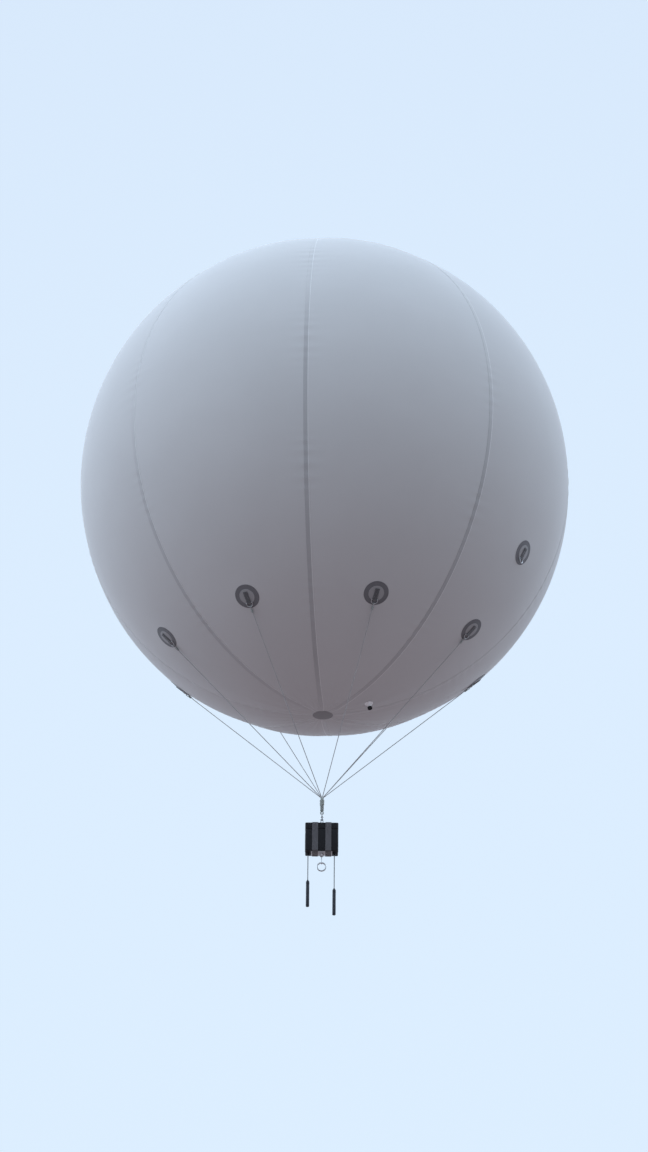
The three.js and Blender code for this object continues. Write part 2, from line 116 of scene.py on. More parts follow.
def film_radius(azimuth, latitude):
    """How far the outside of the film lies from the centre of the round ball, by angles."""
    turn = (azimuth - FIRST_PATCH + HALF_GORE) / (2 * HALF_GORE)
    from_weld = np.abs(turn - np.round(turn)) * 2 * HALF_GORE
    along = 2 * np.pi * RADIUS * latitude
    # Each weld starts its puckers at another place
    weld = np.round(turn) % GORES
    from_pole = RADIUS * (np.pi / 2 - np.abs(latitude))
    calm = np.clip((from_pole - CALM_AT_POLE) / CALM_FADE, 0, 1)
    bulge = np.sin(np.pi / 2 * np.clip(from_weld / (ROUND_FROM * HALF_GORE), 0, 1))
    r = RADIUS - DRAWN_IN * (1 - bulge * calm)
    drift = PUCKER_DRIFT * np.sin(along / DRIFT_LENGTH + 2.1 * weld)
    wave = np.sin(along / PUCKER_LENGTH + drift + 1.7 * weld)
    swell = 1 - PUCKER_SWELL * (1 - np.sin(along / SWELL_LENGTH + 0.9 * weld))
    reach = np.exp(-from_weld * RADIUS * np.cos(latitude) / PUCKER_REACH)
    r = r + PUCKER * wave * swell * reach * calm
    # The gathers round a pole aren't quite evenly spaced
    gathers = np.sin(GATHERS * azimuth + 1.4 * np.sin(3 * azimuth))
    past_cap = np.clip((from_pole - GATHER_START) / GATHER_RISE, 0, 1)
    r = r + GATHER_DEPTH * gathers * past_cap * np.exp(-from_pole / GATHER_REACH)
    point = outward(azimuth, latitude)
    for place in PATCH_PLACES:
        away = RADIUS * np.arccos(np.clip(point @ outward(*place), -1, 1))
        r = r + TENT * np.exp(-((away / TENT_REACH) ** 2))
    return r


def film_point(azimuth, latitude, lift=0.0):
    return outward(azimuth, latitude) * (film_radius(azimuth, latitude) + lift)[..., None] * DRAWN_OUT


def grid_shell(outer, inner):
    """One closed skin from two matching grids of points, the first of them outside."""
    rows, columns = outer.shape[:2]
    points = np.concatenate([outer.reshape(-1, 3), inner.reshape(-1, 3)])
    index = np.arange(rows * columns).reshape(rows, columns)
    a, b, c, d = index[:-1, :-1], index[:-1, 1:], index[1:, 1:], index[1:, :-1]
    top = np.stack([a, b, c, d], -1).reshape(-1, 4)
    under = top[:, ::-1] + rows * columns
    rim = np.concatenate([index[0, :], index[1:, -1], index[-1, -2::-1], index[-2:0:-1, 0]])
    following = np.roll(rim, -1)
    skirt = np.stack([following, rim, rim + rows * columns, following + rows * columns], -1)
    return points, np.concatenate([top, under, skirt]).tolist()


def piece(name, part, material, body, slot, *nodes, sharp=35):
    """A mesh object from (points, faces), finished, riding on a body, in place of CAD nodes."""
    points, faces = part
    mesh = bpy.data.meshes.new(name)
    mesh.from_pydata([tuple(p) for p in points], [], faces)
    mesh.validate()
    mesh.update()
    mesh.shade_smooth()
    mesh.set_sharp_from_angle(angle=math.radians(sharp))
    mesh.materials.append(material)
    made = bpy.data.objects.new(name, mesh)
    bpy.context.scene.collection.objects.link(made)
    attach(made, body)
    if nodes:
        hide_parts(*nodes)


def feed(made, **inputs):
    """Give a node's inputs, by name or number, a link from a socket or else a value."""
    for name, value in inputs.items():
        socket = made.inputs[int(name) if name.isdigit() else name.replace("_", " ")]
        if isinstance(value, bpy.types.NodeSocket):
            made.id_data.links.new(value, socket)
        else:
            socket.default_value = (*value, 1) if socket.type == "RGBA" else value


def node(nodes, kind, **settings):
    """A shader node, its inputs fed from the settings that start with in_, the rest set on it."""
    made = nodes.new("ShaderNode" + kind)
    for key, value in settings.items():
        if not key.startswith("in_"):
            setattr(made, key, value)
    feed(made, **{key[3:]: value for key, value in settings.items() if key.startswith("in_")})
    return made


def maths(nodes, operation, *values, clamp=False):
    """What a Math node makes of its values or sockets."""
    made = node(nodes, "Math", operation=operation, use_clamp=clamp)
    feed(made, **{str(i): value for i, value in enumerate(values)})
    return made.outputs[0]


def ranged(nodes, value, low, high, from_low=0.0, from_high=1.0):
    """A value's way from one number to another, turned into a way from low to high."""
    made = node(nodes, "MapRange", in_0=value, in_1=from_low, in_2=from_high, in_3=low, in_4=high)
    return made.outputs["Result"]


def mix(nodes, share, one, other, blend="MIX"):
    """One colour with a share of another."""
    made = node(nodes, "Mix", data_type="RGBA", blend_type=blend, in_Factor=share, in_A=one, in_B=other)
    return made.outputs["Result"]


def own_space(nodes):
    """Where a point lies in its piece's own space."""
    return node(nodes, "TexCoord").outputs["Object"]


def noise(nodes, spot, size, **settings):
    """Noise from 0 to 1, in cells as large as `size`."""
    cells = maths(nodes, "DIVIDE", 1.0, size)
    return node(nodes, "TexNoise", in_Vector=spot, in_Scale=cells, **settings).outputs["Fac"]


def bump(nodes, height, strength, distance):
    """The surface's normal, tilted by a height."""
    made = node(nodes, "Bump", in_Strength=strength, in_Distance=distance, in_Height=height)
    return made.outputs["Normal"]


def new_material(name):
    """A material, its Principled shader and its nodes."""
    material = bpy.data.materials.new(name)
    material.use_nodes = True
    nodes = material.node_tree.nodes
    return material, nodes["Principled BSDF"], nodes


def group_frame(name, inputs, outputs):
    """A node group with sockets for numbers and colours: it, its nodes, what it is given, its end."""
    group = bpy.data.node_groups.new(name, "ShaderNodeTree")
    for in_out, sockets in (("INPUT", inputs), ("OUTPUT", outputs)):
        for socket, value in sockets.items():
            kind = "NodeSocketColor" if value == GREY else "NodeSocketFloat"
            group.interface.new_socket(socket, in_out=in_out, socket_type=kind).default_value = value
    start = group.nodes.new("NodeGroupInput")
    end = group.nodes.new("NodeGroupOutput")
    return group, group.nodes, start.outputs, end


GREY = (0.5, 0.5, 0.5, 1)

# Mottle: a slow drift between two colours, as handling, dust and the light leave on a surface
mottle, nodes, given, end = group_frame(
    "mottle", {"Colour": GREY, "Other": GREY, "Size": 1.0, "Contrast": 1.0}, {"Colour": GREY, "Mask": 0.0})
cloud = noise(nodes, own_space(nodes), given["Size"], in_Detail=5.0, in_Roughness=0.6)
centred = maths(nodes, "SUBTRACT", cloud, 0.5)
spread = maths(nodes, "MULTIPLY_ADD", centred, given["Contrast"], 0.5, clamp=True)
feed(end, Colour=mix(nodes, spread, given["Colour"], given["Other"]), Mask=spread)

# Film skin: the matte press of a calendered film, over its slow unevenness when blown up
film_skin, nodes, given, end = group_frame(
    "film skin", {"Swell Size": 0.3, "Press Size": 0.002, "Press": 0.05}, {"Height": 0.0})
spot = own_space(nodes)
swells = noise(nodes, spot, given["Swell Size"], in_Detail=1.5, in_Roughness=0.4)
pressed = noise(nodes, spot, given["Press Size"], in_Detail=2.0)
feed(end, Height=maths(nodes, "MULTIPLY_ADD", pressed, given["Press"], swells))


def mottled(nodes, colour, other, size, contrast):
    """The mottle's two outputs, for two colours."""
    made = node(nodes, "Group", node_tree=mottle, in_Colour=colour, in_Other=other, in_Size=size,
                in_Contrast=contrast)
    return made.outputs


# Coated film: a matte sheen over a slightly uneven colour and a slightly uneven skin
film, shader, nodes = new_material("film")
tint = mottled(nodes, (0.565, 0.56, 0.565), (0.595, 0.59, 0.595), 0.7, 1.8)
skin = node(nodes, "Group", node_tree=film_skin).outputs["Height"]
feed(shader, Base_Color=tint["Colour"], Roughness=ranged(nodes, tint["Mask"], 0.64, 0.73),
     Specular_IOR_Level=0.1, Normal=bump(nodes, skin, 0.6, 0.006))

from_weld = np.radians(COLUMNS_FROM_WELD)
angles = np.concatenate([from_weld - HALF_GORE, HALF_GORE - from_weld[-2::-1]])
rows = int(2 * POLE_HOLE * RADIUS / ROW_STEP)
latitudes = np.linspace(-POLE_HOLE, POLE_HOLE, rows)
for k in range(GORES):
    azimuth, latitude = np.meshgrid(FIRST_PATCH + 2 * HALF_GORE * k + angles, latitudes)
    gore = grid_shell(film_point(azimuth, latitude), film_point(azimuth, latitude, -FILM_DEPTH))
    piece(f"gore_film_{k + 1}", gore, film, "envelope", "film", f"gore_{k + 1}", sharp=60)

# Welds
# Where two gores lap, a band of double film runs from pole to pole, pressed by the welding
# wheel and trimmed to a fine edge. A lighter strip on that edge is a painted highlight. The band's
# colour is painted darker low in front, a painted shade where light comes through the film.
WELD_HALF_WIDTH = 0.013
WELD_RAISED = 0.0017
EDGE_WIDTH = 0.0045
EDGE_LAP = 0.0002
BAND_EDGE_HIGH = 0.0002
BAND_DEPTH = 0.001
# At a pole the bands take up this share of the way round
BANDS_AT_POLE = 0.3
# The way toward the low front, where the welds are painted darker: painted shade
PAINTED_SHADE_SIDE = (0.0, -0.85, -0.53)
# Metres from the centre toward the low front, where the welds' painted shade begins and is full
PAINTED_SHADE_BEGINS = 0.9
PAINTED_SHADE_FULL = 1.34
# The most that the welds' own paler colour shows, away from their painted shade
UNSHADED_SHARE = 0.88


def phases(nodes, cycle, pitch):
    """The three coordinates in a piece's own space as angles, one `cycle` to each `pitch`."""
    scale = maths(nodes, "DIVIDE", cycle, pitch)
    spot = node(nodes, "VectorMath", operation="SCALE", in_0=own_space(nodes), in_Scale=scale)
    return node(nodes, "SeparateXYZ", in_0=spot.outputs[0]).outputs


press, nodes, given, end = group_frame("pressed cross", {"Pitch": 0.004}, {"Height": 0.0})
waves = [maths(nodes, "SINE", phase) for phase in phases(nodes, math.pi, given["Pitch"])]
feed(end, Height=maths(nodes, "MULTIPLY", maths(nodes, "ADD", waves[0], waves[1]), waves[2]))


def pressed_film_material(name, colour, other, roughness=0.6, pitch=0.003, depth=0.0003, unshaded_colour=None):
    """Bonded film with a pressed cross pattern. If a second colour is given, the first is a painted shade
    low in front and the second shows away from there.
    """
    material, shader, nodes = new_material(name)
    coloured = mottled(nodes, colour, other, 0.35, 2.0)["Colour"]
    if unshaded_colour:
        # Toward the low front the colour is painted darker: painted shade where light comes through the
        # double film
        toward = node(nodes, "VectorMath", operation="DOT_PRODUCT", in_0=own_space(nodes), in_1=PAINTED_SHADE_SIDE)
        away = ranged(nodes, toward.outputs["Value"], UNSHADED_SHARE, 0.0, PAINTED_SHADE_BEGINS, PAINTED_SHADE_FULL)
        coloured = mix(nodes, away, coloured, unshaded_colour)
    pattern = node(nodes, "Group", node_tree=press, in_Pitch=pitch).outputs["Height"]
    feed(shader, Base_Color=coloured, Roughness=roughness, Specular_IOR_Level=0.15,
         Normal=bump(nodes, pattern, 0.4, depth))
    return material


# Welds: darker colours for their painted shade low in front, then their own paler colour elsewhere
weld_film = pressed_film_material("weld_film", (0.43, 0.425, 0.435), (0.46, 0.455, 0.465),
                                  0.64, 0.004, 0.0004, (0.58, 0.575, 0.58))
# A lighter film for each weld's trimmed edge: a painted highlight where the edge catches light
trimmed_edge_highlight = pressed_film_material("trimmed_edge_highlight", (0.7, 0.7, 0.705), (0.74, 0.74, 0.745),
                                  0.55, 0.004, 0.0001)


def band(azimuth0, low_side, high_side, lift):
    """A strip of film from pole to pole, its sides given in metres from a meridian."""
    shares = np.array([0, 0.03, 0.25, 0.5, 0.75, 0.97, 1])
    heights = np.array([BAND_EDGE_HIGH, lift, lift, lift, lift, lift, BAND_EDGE_HIGH])
    latitude, share = np.meshgrid(latitudes, shares, indexing="ij")
    around = RADIUS * np.cos(latitude)
    # Near the poles the strips would meet, so they narrow with the room there
    narrower = np.minimum(1, BANDS_AT_POLE * HALF_GORE * around / WELD_HALF_WIDTH)
    azimuth = azimuth0 + (low_side + (high_side - low_side) * share) * narrower / around
    return grid_shell(film_point(azimuth, latitude, heights), film_point(azimuth, latitude, -BAND_DEPTH))


for k in range(GORES):
    weld_azimuth = FIRST_PATCH + HALF_GORE * (2 * k - 1)
    lap = band(weld_azimuth, -WELD_HALF_WIDTH, WELD_HALF_WIDTH, WELD_RAISED)
    piece(f"weld_{k + 1}", lap, weld_film, "envelope", "film", sharp=60)
    # The strip on the lap's free edge is real, and its lighter colour is a painted highlight
    trimmed_highlight_strip = band(weld_azimuth, WELD_HALF_WIDTH - EDGE_LAP, WELD_HALF_WIDTH + EDGE_WIDTH, WELD_RAISED / 2)
    piece(f"weld_edge_{k + 1}", trimmed_highlight_strip, trimmed_edge_highlight, "envelope", "film", sharp=60)

# Pole caps
# A round of film bonded over the gores' tips at each pole, with a weld ring pressed near its
# edge. The lower one is of darker film, as the photograph shows.
CAP_RADIUS = 0.066
CAP_FILM = 0.0024
BOND = 0.0004


def quads(rings, around, closed=False):
    """Faces from each ring of points to the one after it."""
    faces = []
    for ring in range(rings if closed else rings - 1):
        here, there = ring * around, (ring + 1) % rings * around
        for j in range(around):
            following = (j + 1) % around
            faces.append([here + j, here + following, there + following, there + j])
    return faces


def turned_faces(rings, around):
    """Faces of a turned form, with a fan at each end to one of two last points."""
    faces = quads(rings, around)
    foot = rings * around
    last = foot - around
    for j in range(around):
        following = (j + 1) % around
        faces.append([foot, following, j])
        faces.append([foot + 1, last + j, last + following])
    return faces


def bonded_disc(place, radius, base, thick, around=72):
    """A round sheet lying on the film at a place, its section as DISC_PROFILE says."""
    middle = outward(*place)
    down = outward(place[0], place[1] - math.pi / 2)
    spokes = np.linspace(0, 2 * np.pi, around, endpoint=False)
    offset = np.outer(np.cos(spokes), down) + np.outer(np.sin(spokes), np.cross(down, middle))
    points = []
    for fraction, height in DISC_PROFILE:
        reach = radius * fraction / RADIUS
        sphere = middle * math.cos(reach) + offset * math.sin(reach)
        azimuth = np.arctan2(sphere[:, 0], -sphere[:, 1])
        surface = film_radius(azimuth, np.arcsin(np.clip(sphere[:, 2], -1, 1)))
        points.append(sphere * (surface + base + thick * height)[:, None] * DRAWN_OUT)
    ends = [points[0].mean(axis=0), points[-1].mean(axis=0)]
    return np.concatenate([*points, ends]), turned_faces(len(points), around)


# From the middle of the top, over the pressed ring and the rounded edge, to the middle of the back
DISC_PROFILE = ((0.02, 1), (0.3, 1), (0.55, 1), (0.72, 1), (0.78, 0.97), (0.8, 0.75), (0.9, 0.72),
                (0.92, 0.95), (0.965, 1), (0.99, 0.75), (1, 0.3), (0.995, 0), (0.6, 0), (0.02, 0))
cap_film = pressed_film_material("cap_film", (0.28, 0.275, 0.285), (0.31, 0.305, 0.315))
top_disc = bonded_disc((FIRST_PATCH, math.pi / 2), CAP_RADIUS, BOND, CAP_FILM)
piece("top_cap_disc", top_disc, weld_film, "envelope", "film", "top_cap")
bottom_disc = bonded_disc((FIRST_PATCH, -math.pi / 2), CAP_RADIUS, BOND, CAP_FILM)
piece("bottom_cap_disc", bottom_disc, cap_film, "envelope", "patch_film", "bottom_cap")

# Load patches
# Eleven patches of two bonded rounds of film. A webbing tab is sewn over each, folded round
# the bar of a D-ring and sewn back, with a boxed cross of heavy thread.
PATCH_RADIUS = 0.08
REINFORCE_RADIUS = 0.05
FILM_ROUND = 0.0014
WEB_HALF_WIDTH = 0.0145
WEB_THICK = 0.0017
TAB_TOP = -0.034
TAB_FOOT = 0.034
UNDER_LAYER_SHORTER = 0.004
TAB_BASE = 2 * (FILM_ROUND + BOND) + TENT
UNDER_LAYER_HIGH = TAB_BASE + WEB_THICK * 0.5
OVER_LAYER_HIGH = TAB_BASE + WEB_THICK * 1.55
BAR_DOWN = 0.042
BAR_HIGH = 0.008
WRAP_RADIUS = 0.0039
SEWN_TOP = TAB_TOP + 0.005
SEWN_FOOT = 0.026
SEWN_HALF_WIDTH = 0.0115
SEWN_HIGH = TAB_BASE + WEB_THICK * 2.1
STITCH_PITCH = 0.0042
STITCH_SHARE = (0.1, 0.9)
THREAD_RADIUS = 0.00055


def unit(vectors):
    return vectors / np.linalg.norm(vectors, axis=-1, keepdims=True)


def site(azimuth, latitude):
    """The envelope's outward normal there, the way down the meridian and the way across."""
    normal = unit(outward(azimuth, latitude) / DRAWN_OUT)
    down = unit(outward(azimuth, latitude - math.pi / 2) * DRAWN_OUT)
    return normal, down, np.cross(down, normal)


def at(place, high, down_by, across_by=0.0):
    """A point by its height over the envelope, its way down the meridian and its way across."""
    normal, down, across = site(*place)
    foot = outward(*place) * RADIUS * DRAWN_OUT
    return foot + normal * high + down * down_by + across * across_by


def joined(parts):
    """Several (points, faces) as one."""
    points, faces, offset = [], [], 0
    for some_points, some_faces in parts:
        points.append(np.asarray(some_points, float))
        faces.extend([[offset + i for i in face] for face in some_faces])
        offset += len(some_points)
    return np.concatenate(points), faces


def bar_faces(rings, around, closed=False):
    """Faces of a bar along its rings, with a flat face at each end if it is open."""
    faces = quads(rings, around, closed)
    if not closed:
        faces.append(list(range(around))[::-1])
        faces.append([(rings - 1) * around + j for j in range(around)])
    return faces


def headings(path, closed):
    """The way ahead at each point of a path."""
    if closed:
        return unit(np.roll(path, -1, axis=0) - np.roll(path, 1, axis=0))
    return unit(np.gradient(path, axis=0))


def ribbon(path, sideways, half_width, thick, section=None, closed=False):
    """A flat band along a path, `sideways` across it, with rounded edges if no section is given."""
    path = np.asarray(path, float)
    up = unit(np.cross(sideways, headings(path, closed)))
    if section is None:
        flat = 1 - 0.25 * thick / half_width
        over = [(-1, 0), (-flat, 0.5), (-0.5, 0.5), (0, 0.5), (0.5, 0.5), (flat, 0.5)]
        section = over + [(-across, -high) for across, high in over]
    widths, heights = np.array(section).T
    points = (path[:, None, :] + np.outer(widths * half_width, sideways)
              + heights[:, None] * thick * up[:, None, :])
    return points.reshape(-1, 3), bar_faces(len(path), len(section), closed)


def tab_line(place):
    """The webbing's middle: down over the patch, round the ring's bar, and back underneath."""
    upper = [(down_by, OVER_LAYER_HIGH) for down_by in np.linspace(TAB_TOP, TAB_FOOT, 9)]
    wrap = [(BAR_DOWN + WRAP_RADIUS * math.sin(turn), BAR_HIGH + WRAP_RADIUS * math.cos(turn))
            for turn in np.radians(range(-10, 200, 15))]
    lower = [(down_by, UNDER_LAYER_HIGH)
             for down_by in np.linspace(TAB_FOOT, TAB_TOP + UNDER_LAYER_SHORTER, 8)]
    return [at(place, high, down_by) for down_by, high in upper + wrap + lower]


def stitch(first, last, normal):
    """One stitch: a short flattened lozenge of thread that lies on the cloth."""
    sideways = np.cross(unit(last - first), normal)
    points = []
    for share, size in ((0, 0.25), (0.2, 0.9), (0.5, 1), (0.8, 0.9), (1, 0.25)):
        for across, high in ((-1, 0), (-0.5, 0.8), (0.5, 0.8), (1, 0), (0, -0.8)):
            away = (sideways * across + normal * high) * THREAD_RADIUS * size
            points.append(first + (last - first) * share + away)
    return np.array(points), bar_faces(5, 5)


def boxed_cross(spot, first, last, half_width, normal):
    """A webbing lap's usual sewing: `spot` gives a point by its way along and its way across."""
    corners = [spot(first, -half_width), spot(first, half_width),
               spot(last, half_width), spot(last, -half_width)]
    parts = []
    for i, j in ((0, 1), (1, 2), (2, 3), (3, 0), (0, 2), (1, 3)):
        seam = corners[j] - corners[i]
        count = max(1, round(np.linalg.norm(seam) / STITCH_PITCH))
        for step in range(count):
            ends = [corners[i] + seam * (step + share) / count for share in STITCH_SHARE]
            parts.append(stitch(*ends, normal))
    return joined(parts)


# Weave: fine ribs across a webbing, crossed by its picks, in the piece's own space, and a painted shade that
# is darker where the weave lies low
weave, nodes, given, end = group_frame("weave", {"Pitch": 0.0016}, {"Height": 0.0, "Shade": 0.0})
x_phase, y_phase, z_phase = phases(nodes, 2 * math.pi, given["Pitch"])
picks = maths(nodes, "SINE", maths(nodes, "ADD", x_phase, y_phase))
cloth = maths(nodes, "MULTIPLY", maths(nodes, "SINE", z_phase), picks)
feed(end, Height=cloth, Shade=ranged(nodes, cloth, 0.0, 1.0, -1.0, 1.0))


def webbing_material(name, colour, other, pitch):
    material, shader, nodes = new_material(name)
    cloth = node(nodes, "Group", node_tree=weave, in_Pitch=pitch).outputs
    tint = mottled(nodes, colour, other, 0.06, 1.6)
    # The colour is darkened in the weave's hollows: painted shade
    feed(shader, Base_Color=mix(nodes, 0.45, tint["Colour"], cloth["Shade"], "MULTIPLY"),
         Roughness=0.82, Sheen_Weight=0.25, Normal=bump(nodes, cloth["Height"], 0.6, 0.0005))
    return material


patch_film = pressed_film_material("patch_film", (0.16, 0.158, 0.168), (0.195, 0.192, 0.204))
reinforce_film = pressed_film_material("reinforce_film", (0.33, 0.326, 0.336), (0.365, 0.36, 0.37), 0.58)
tab_webbing = webbing_material("tab_webbing", (0.115, 0.115, 0.123), (0.145, 0.145, 0.154), 0.0018)
tab_thread, shader, nodes = new_material("tab_thread")
tint = mottled(nodes, (0.30, 0.30, 0.31), (0.225, 0.225, 0.2325), 0.01, 2.0)
feed(shader, Base_Color=tint["Colour"], Roughness=0.7)
patch_names = [f"bridle_patch_{k + 1}" for k in range(GORES)]
patch_names += [f"guy_patch_{k + 1}" for k in range(len(GUY_AZIMUTHS))]
for name, place in zip(patch_names, PATCH_PLACES):
    normal, _, across = site(*place)
    round_film = bonded_disc(place, PATCH_RADIUS, BOND, FILM_ROUND)
    piece(f"{name}_round", round_film, patch_film, "envelope", "patch_film", name)
    inner_round = bonded_disc(place, REINFORCE_RADIUS, BOND + FILM_ROUND, FILM_ROUND, 56)
    piece(f"{name}_inner", inner_round, reinforce_film, "envelope", "patch_film")
    tab = ribbon(tab_line(place), across, WEB_HALF_WIDTH, WEB_THICK)
    piece(f"{name}_tab", tab, tab_webbing, "envelope", "patch_film", sharp=50)
    sewing = boxed_cross(lambda down_by, across_by: at(place, SEWN_HIGH, down_by, across_by),
                         SEWN_TOP, SEWN_FOOT, SEWN_HALF_WIDTH, normal)
    piece(f"{name}_sewing", sewing, tab_thread, "envelope", "patch_film", sharp=60)

# D-rings
# Bent and welded steel wire, zinc plated. The straight bar runs in the fold of the tab, and
# the bow hangs the way that its line pulls.
D_WIRE = 0.0025
D_HALF_WIDTH = 0.0205
D_SIDE = 0.008
D_CORNER = 0.005
JUNCTION = np.array([0.0, 0.0, -2.241])
ACROSS, BACK, UP = np.eye(3)


def square_to(way):
    """Some way at right angles to another."""
    return unit(np.cross(way, np.eye(3)[np.argmin(np.abs(way))]))


def turned_line(path, closed):
    """Two ways across a path at each point, at right angles to each other, that don't twist."""
    ahead = headings(path, closed)
    side = [square_to(ahead[0])]
    for way in ahead[1:]:
        side.append(unit(side[-1] - way * (side[-1] @ way)))
    side = np.array(side)
    if closed:
        back = unit(side[-1] - ahead[0] * (side[-1] @ ahead[0]))
        error = math.atan2(np.cross(side[0], back) @ ahead[0], side[0] @ back)
        undo = (-error * np.arange(len(path)) / len(path))[:, None]
        side = side * np.cos(undo) + np.cross(ahead, side) * np.sin(undo)
    return side, np.cross(ahead, side)


def tube(path, radius, sides=12, closed=False, laid=False):
    """A round bar, or a rope laid in strands, along a path, with flat ends where it is open."""
    path = np.asarray(path, float)
    side, up = turned_line(path, closed)
    turns = np.linspace(0, 2 * np.pi, sides, endpoint=False)
    radii = np.full((len(path), sides), radius)
    if laid:
        steps = np.linalg.norm(np.diff(path, axis=0), axis=1)
        travelled = np.concatenate([[0], np.cumsum(steps)])
        lay = ROPE_STRANDS / 2 * (turns - 2 * np.pi * travelled[:, None] / ROPE_PITCH)
        radii = radii * (1 - ROPE_GROOVE * (1 - np.abs(np.cos(lay))))
    around = (side[:, None, :] * np.cos(turns)[:, None] + up[:, None, :] * np.sin(turns)[:, None])
    points = path[:, None, :] + around * radii[:, :, None]
    return points.reshape(-1, 3), bar_faces(len(path), sides, closed)


def d_path():
    """The wire's middle in the ring's own plane: X along the bar, Y up toward it."""
    w, c = D_HALF_WIDTH, D_CORNER
    path = [(x, 0.0) for x in np.linspace(-w + c, w - c, 9)]
    path += [(w - c + c * math.sin(a), -c + c * math.cos(a)) for a in np.radians((22, 45, 67, 90))]
    path += [(w * math.cos(a), -D_SIDE - w * math.sin(a)) for a in np.radians(range(0, 181, 9))]
    path += [(-w + c - c * math.cos(a), -c + c * math.sin(a)) for a in np.radians((0, 22, 45, 67))]
    return path


# Handled metal: faint cloudy plating, and a fine scatter of scratches in its roughness
plating, nodes, given, end = group_frame(
    "plating", {"Rough": 0.3, "Spread": 0.15, "Size": 0.01}, {"Roughness": 0.0, "Height": 0.0, "Mask": 0.0})
spot = own_space(nodes)
cloud = noise(nodes, spot, given["Size"], in_Detail=6.0, in_Roughness=0.65)
centred = maths(nodes, "SUBTRACT", cloud, 0.5)
rough = maths(nodes, "MULTIPLY_ADD", centred, given["Spread"], given["Rough"], clamp=True)
grit = node(nodes, "TexNoise", in_Vector=spot, in_Scale=2600.0, in_Detail=2.0).outputs["Fac"]
feed(end, Roughness=rough, Height=grit, Mask=cloud)

steel, shader, nodes = new_material("zinc_steel")
skin = node(nodes, "Group", node_tree=plating, in_Rough=0.3, in_Spread=0.35, in_Size=0.012).outputs
feed(shader, Base_Color=mix(nodes, skin["Mask"], (0.62, 0.63, 0.64), (0.5, 0.51, 0.53)),
     Roughness=skin["Roughness"], Metallic=1.0, Normal=bump(nodes, skin["Height"], 0.15, 0.0002))


def pull_of(place):
    """The way that a ring is pulled: to the junction by a bridle line, and else straight down."""
    if place[1] == GUY_LATITUDE:
        return -UP
    return unit(JUNCTION - at(place, BAR_HIGH, BAR_DOWN))


for name, place in zip(patch_names, PATCH_PLACES):
    pull = pull_of(place)
    across = site(*place)[2]
    bar = at(place, BAR_HIGH, BAR_DOWN)
    wire = [bar + across * x - pull * y for x, y in d_path()]
    ring_name = name.replace("patch", "ring")
    piece(f"{ring_name}_wire", tube(wire, D_WIRE, closed=True), steel, "envelope", "steel", ring_name)

# Bridle lines
# Eight lines of laid rope, 5 mm thick and tight under the lift. Each goes round the bow of its
# ring, back along itself, and is whipped with thin cord.
LINE_RADIUS = 0.0025
LINE_END = 0.012
BOW_DOWN = D_SIDE + D_HALF_WIDTH
EYE_RADIUS = 0.0056
ROPE_STRANDS = 3
ROPE_PITCH = 0.018
ROPE_GROOVE = 0.14
# Ways down from the bow, and ways out from the middle in eye radii
TAIL = ((0.044, 0.47), (0.036, 0.47), (0.026, 0.5), (0.018, 0.68), (0.01, 0.92), (0.004, 1.0))
NECK = ((0.002, 1.0), (0.008, 0.93), (0.016, 0.72), (0.024, 0.5), (0.034, 0.4), (0.046, 0.3),
        (0.062, 0.1))
STRAIGHT_FROM = 0.08
ROPE_STEP = 0.003


def coil(foot, ahead, radius, cord, turns, pitch, steps=18, sides=6):
    """Close turns of a cord round a straight bundle, from its foot along its way."""
    side = square_to(ahead)
    angle = np.linspace(0, 2 * np.pi * turns, int(turns * steps))
    path = (foot + np.outer(angle / (2 * np.pi) * pitch, ahead)
            + radius * (np.outer(np.cos(angle), side) + np.outer(np.sin(angle), np.cross(ahead, side))))
    return tube(path, cord, sides)


# Laid cord: the fibres of synthetic rope, drawn out along Z
fibres, nodes, given, end = group_frame("fibres", {"Size": 0.0006}, {"Height": 0.0})
stretched = node(nodes, "VectorMath", operation="MULTIPLY", in_0=own_space(nodes), in_1=(1.0, 1.0, 0.18))
feed(end, Height=noise(nodes, stretched.outputs[0], given["Size"], in_Detail=3.0))


def rope_material(name, colour, other):
    material, shader, nodes = new_material(name)
    threads = node(nodes, "Group", node_tree=fibres, in_Size=0.0007).outputs["Height"]
    feed(shader, Base_Color=mottled(nodes, colour, other, 0.05, 2.2)["Colour"], Roughness=0.72,
         Sheen_Weight=0.2, Normal=bump(nodes, threads, 0.5, 0.0003))
    return material


rope = rope_material("rope", (0.43, 0.435, 0.44), (0.37, 0.375, 0.385))
whipping = rope_material("whipping", (0.40, 0.43, 0.42), (0.33, 0.37, 0.36))
for k, place in enumerate(PATCH_PLACES[:GORES]):
    pull = pull_of(place)
    face = np.cross(site(*place)[2], pull)
    bow = at(place, BAR_HIGH, BAR_DOWN) + pull * BOW_DOWN
    # Round the bow from the tail's side, then straight down to the knot
    tail = [bow + pull * d + face * EYE_RADIUS * s for d, s in TAIL]
    eye = [bow - pull * EYE_RADIUS * math.sin(a) + face * EYE_RADIUS * math.cos(a)
           for a in np.radians(range(15, 180, 15))]
    neck = [bow + pull * d - face * EYE_RADIUS * s for d, s in NECK]
    start_point = bow + pull * STRAIGHT_FROM
    run = np.linalg.norm(JUNCTION - pull * LINE_END - start_point)
    straight = [start_point + pull * d for d in np.linspace(0, run, int(run / ROPE_STEP))]
    line = tube(tail + eye + neck + straight, LINE_RADIUS, 14, laid=True)
    piece(f"bridle_rope_{k + 1}", line, rope, "envelope", "rope", f"bridle_line_{k + 1}", sharp=80)
    served = coil(bow + pull * 0.021, pull, radius=0.0056, cord=0.0008, turns=11, pitch=0.0017)
    piece(f"bridle_whipping_{k + 1}", served, whipping, "envelope", "rope", sharp=80)

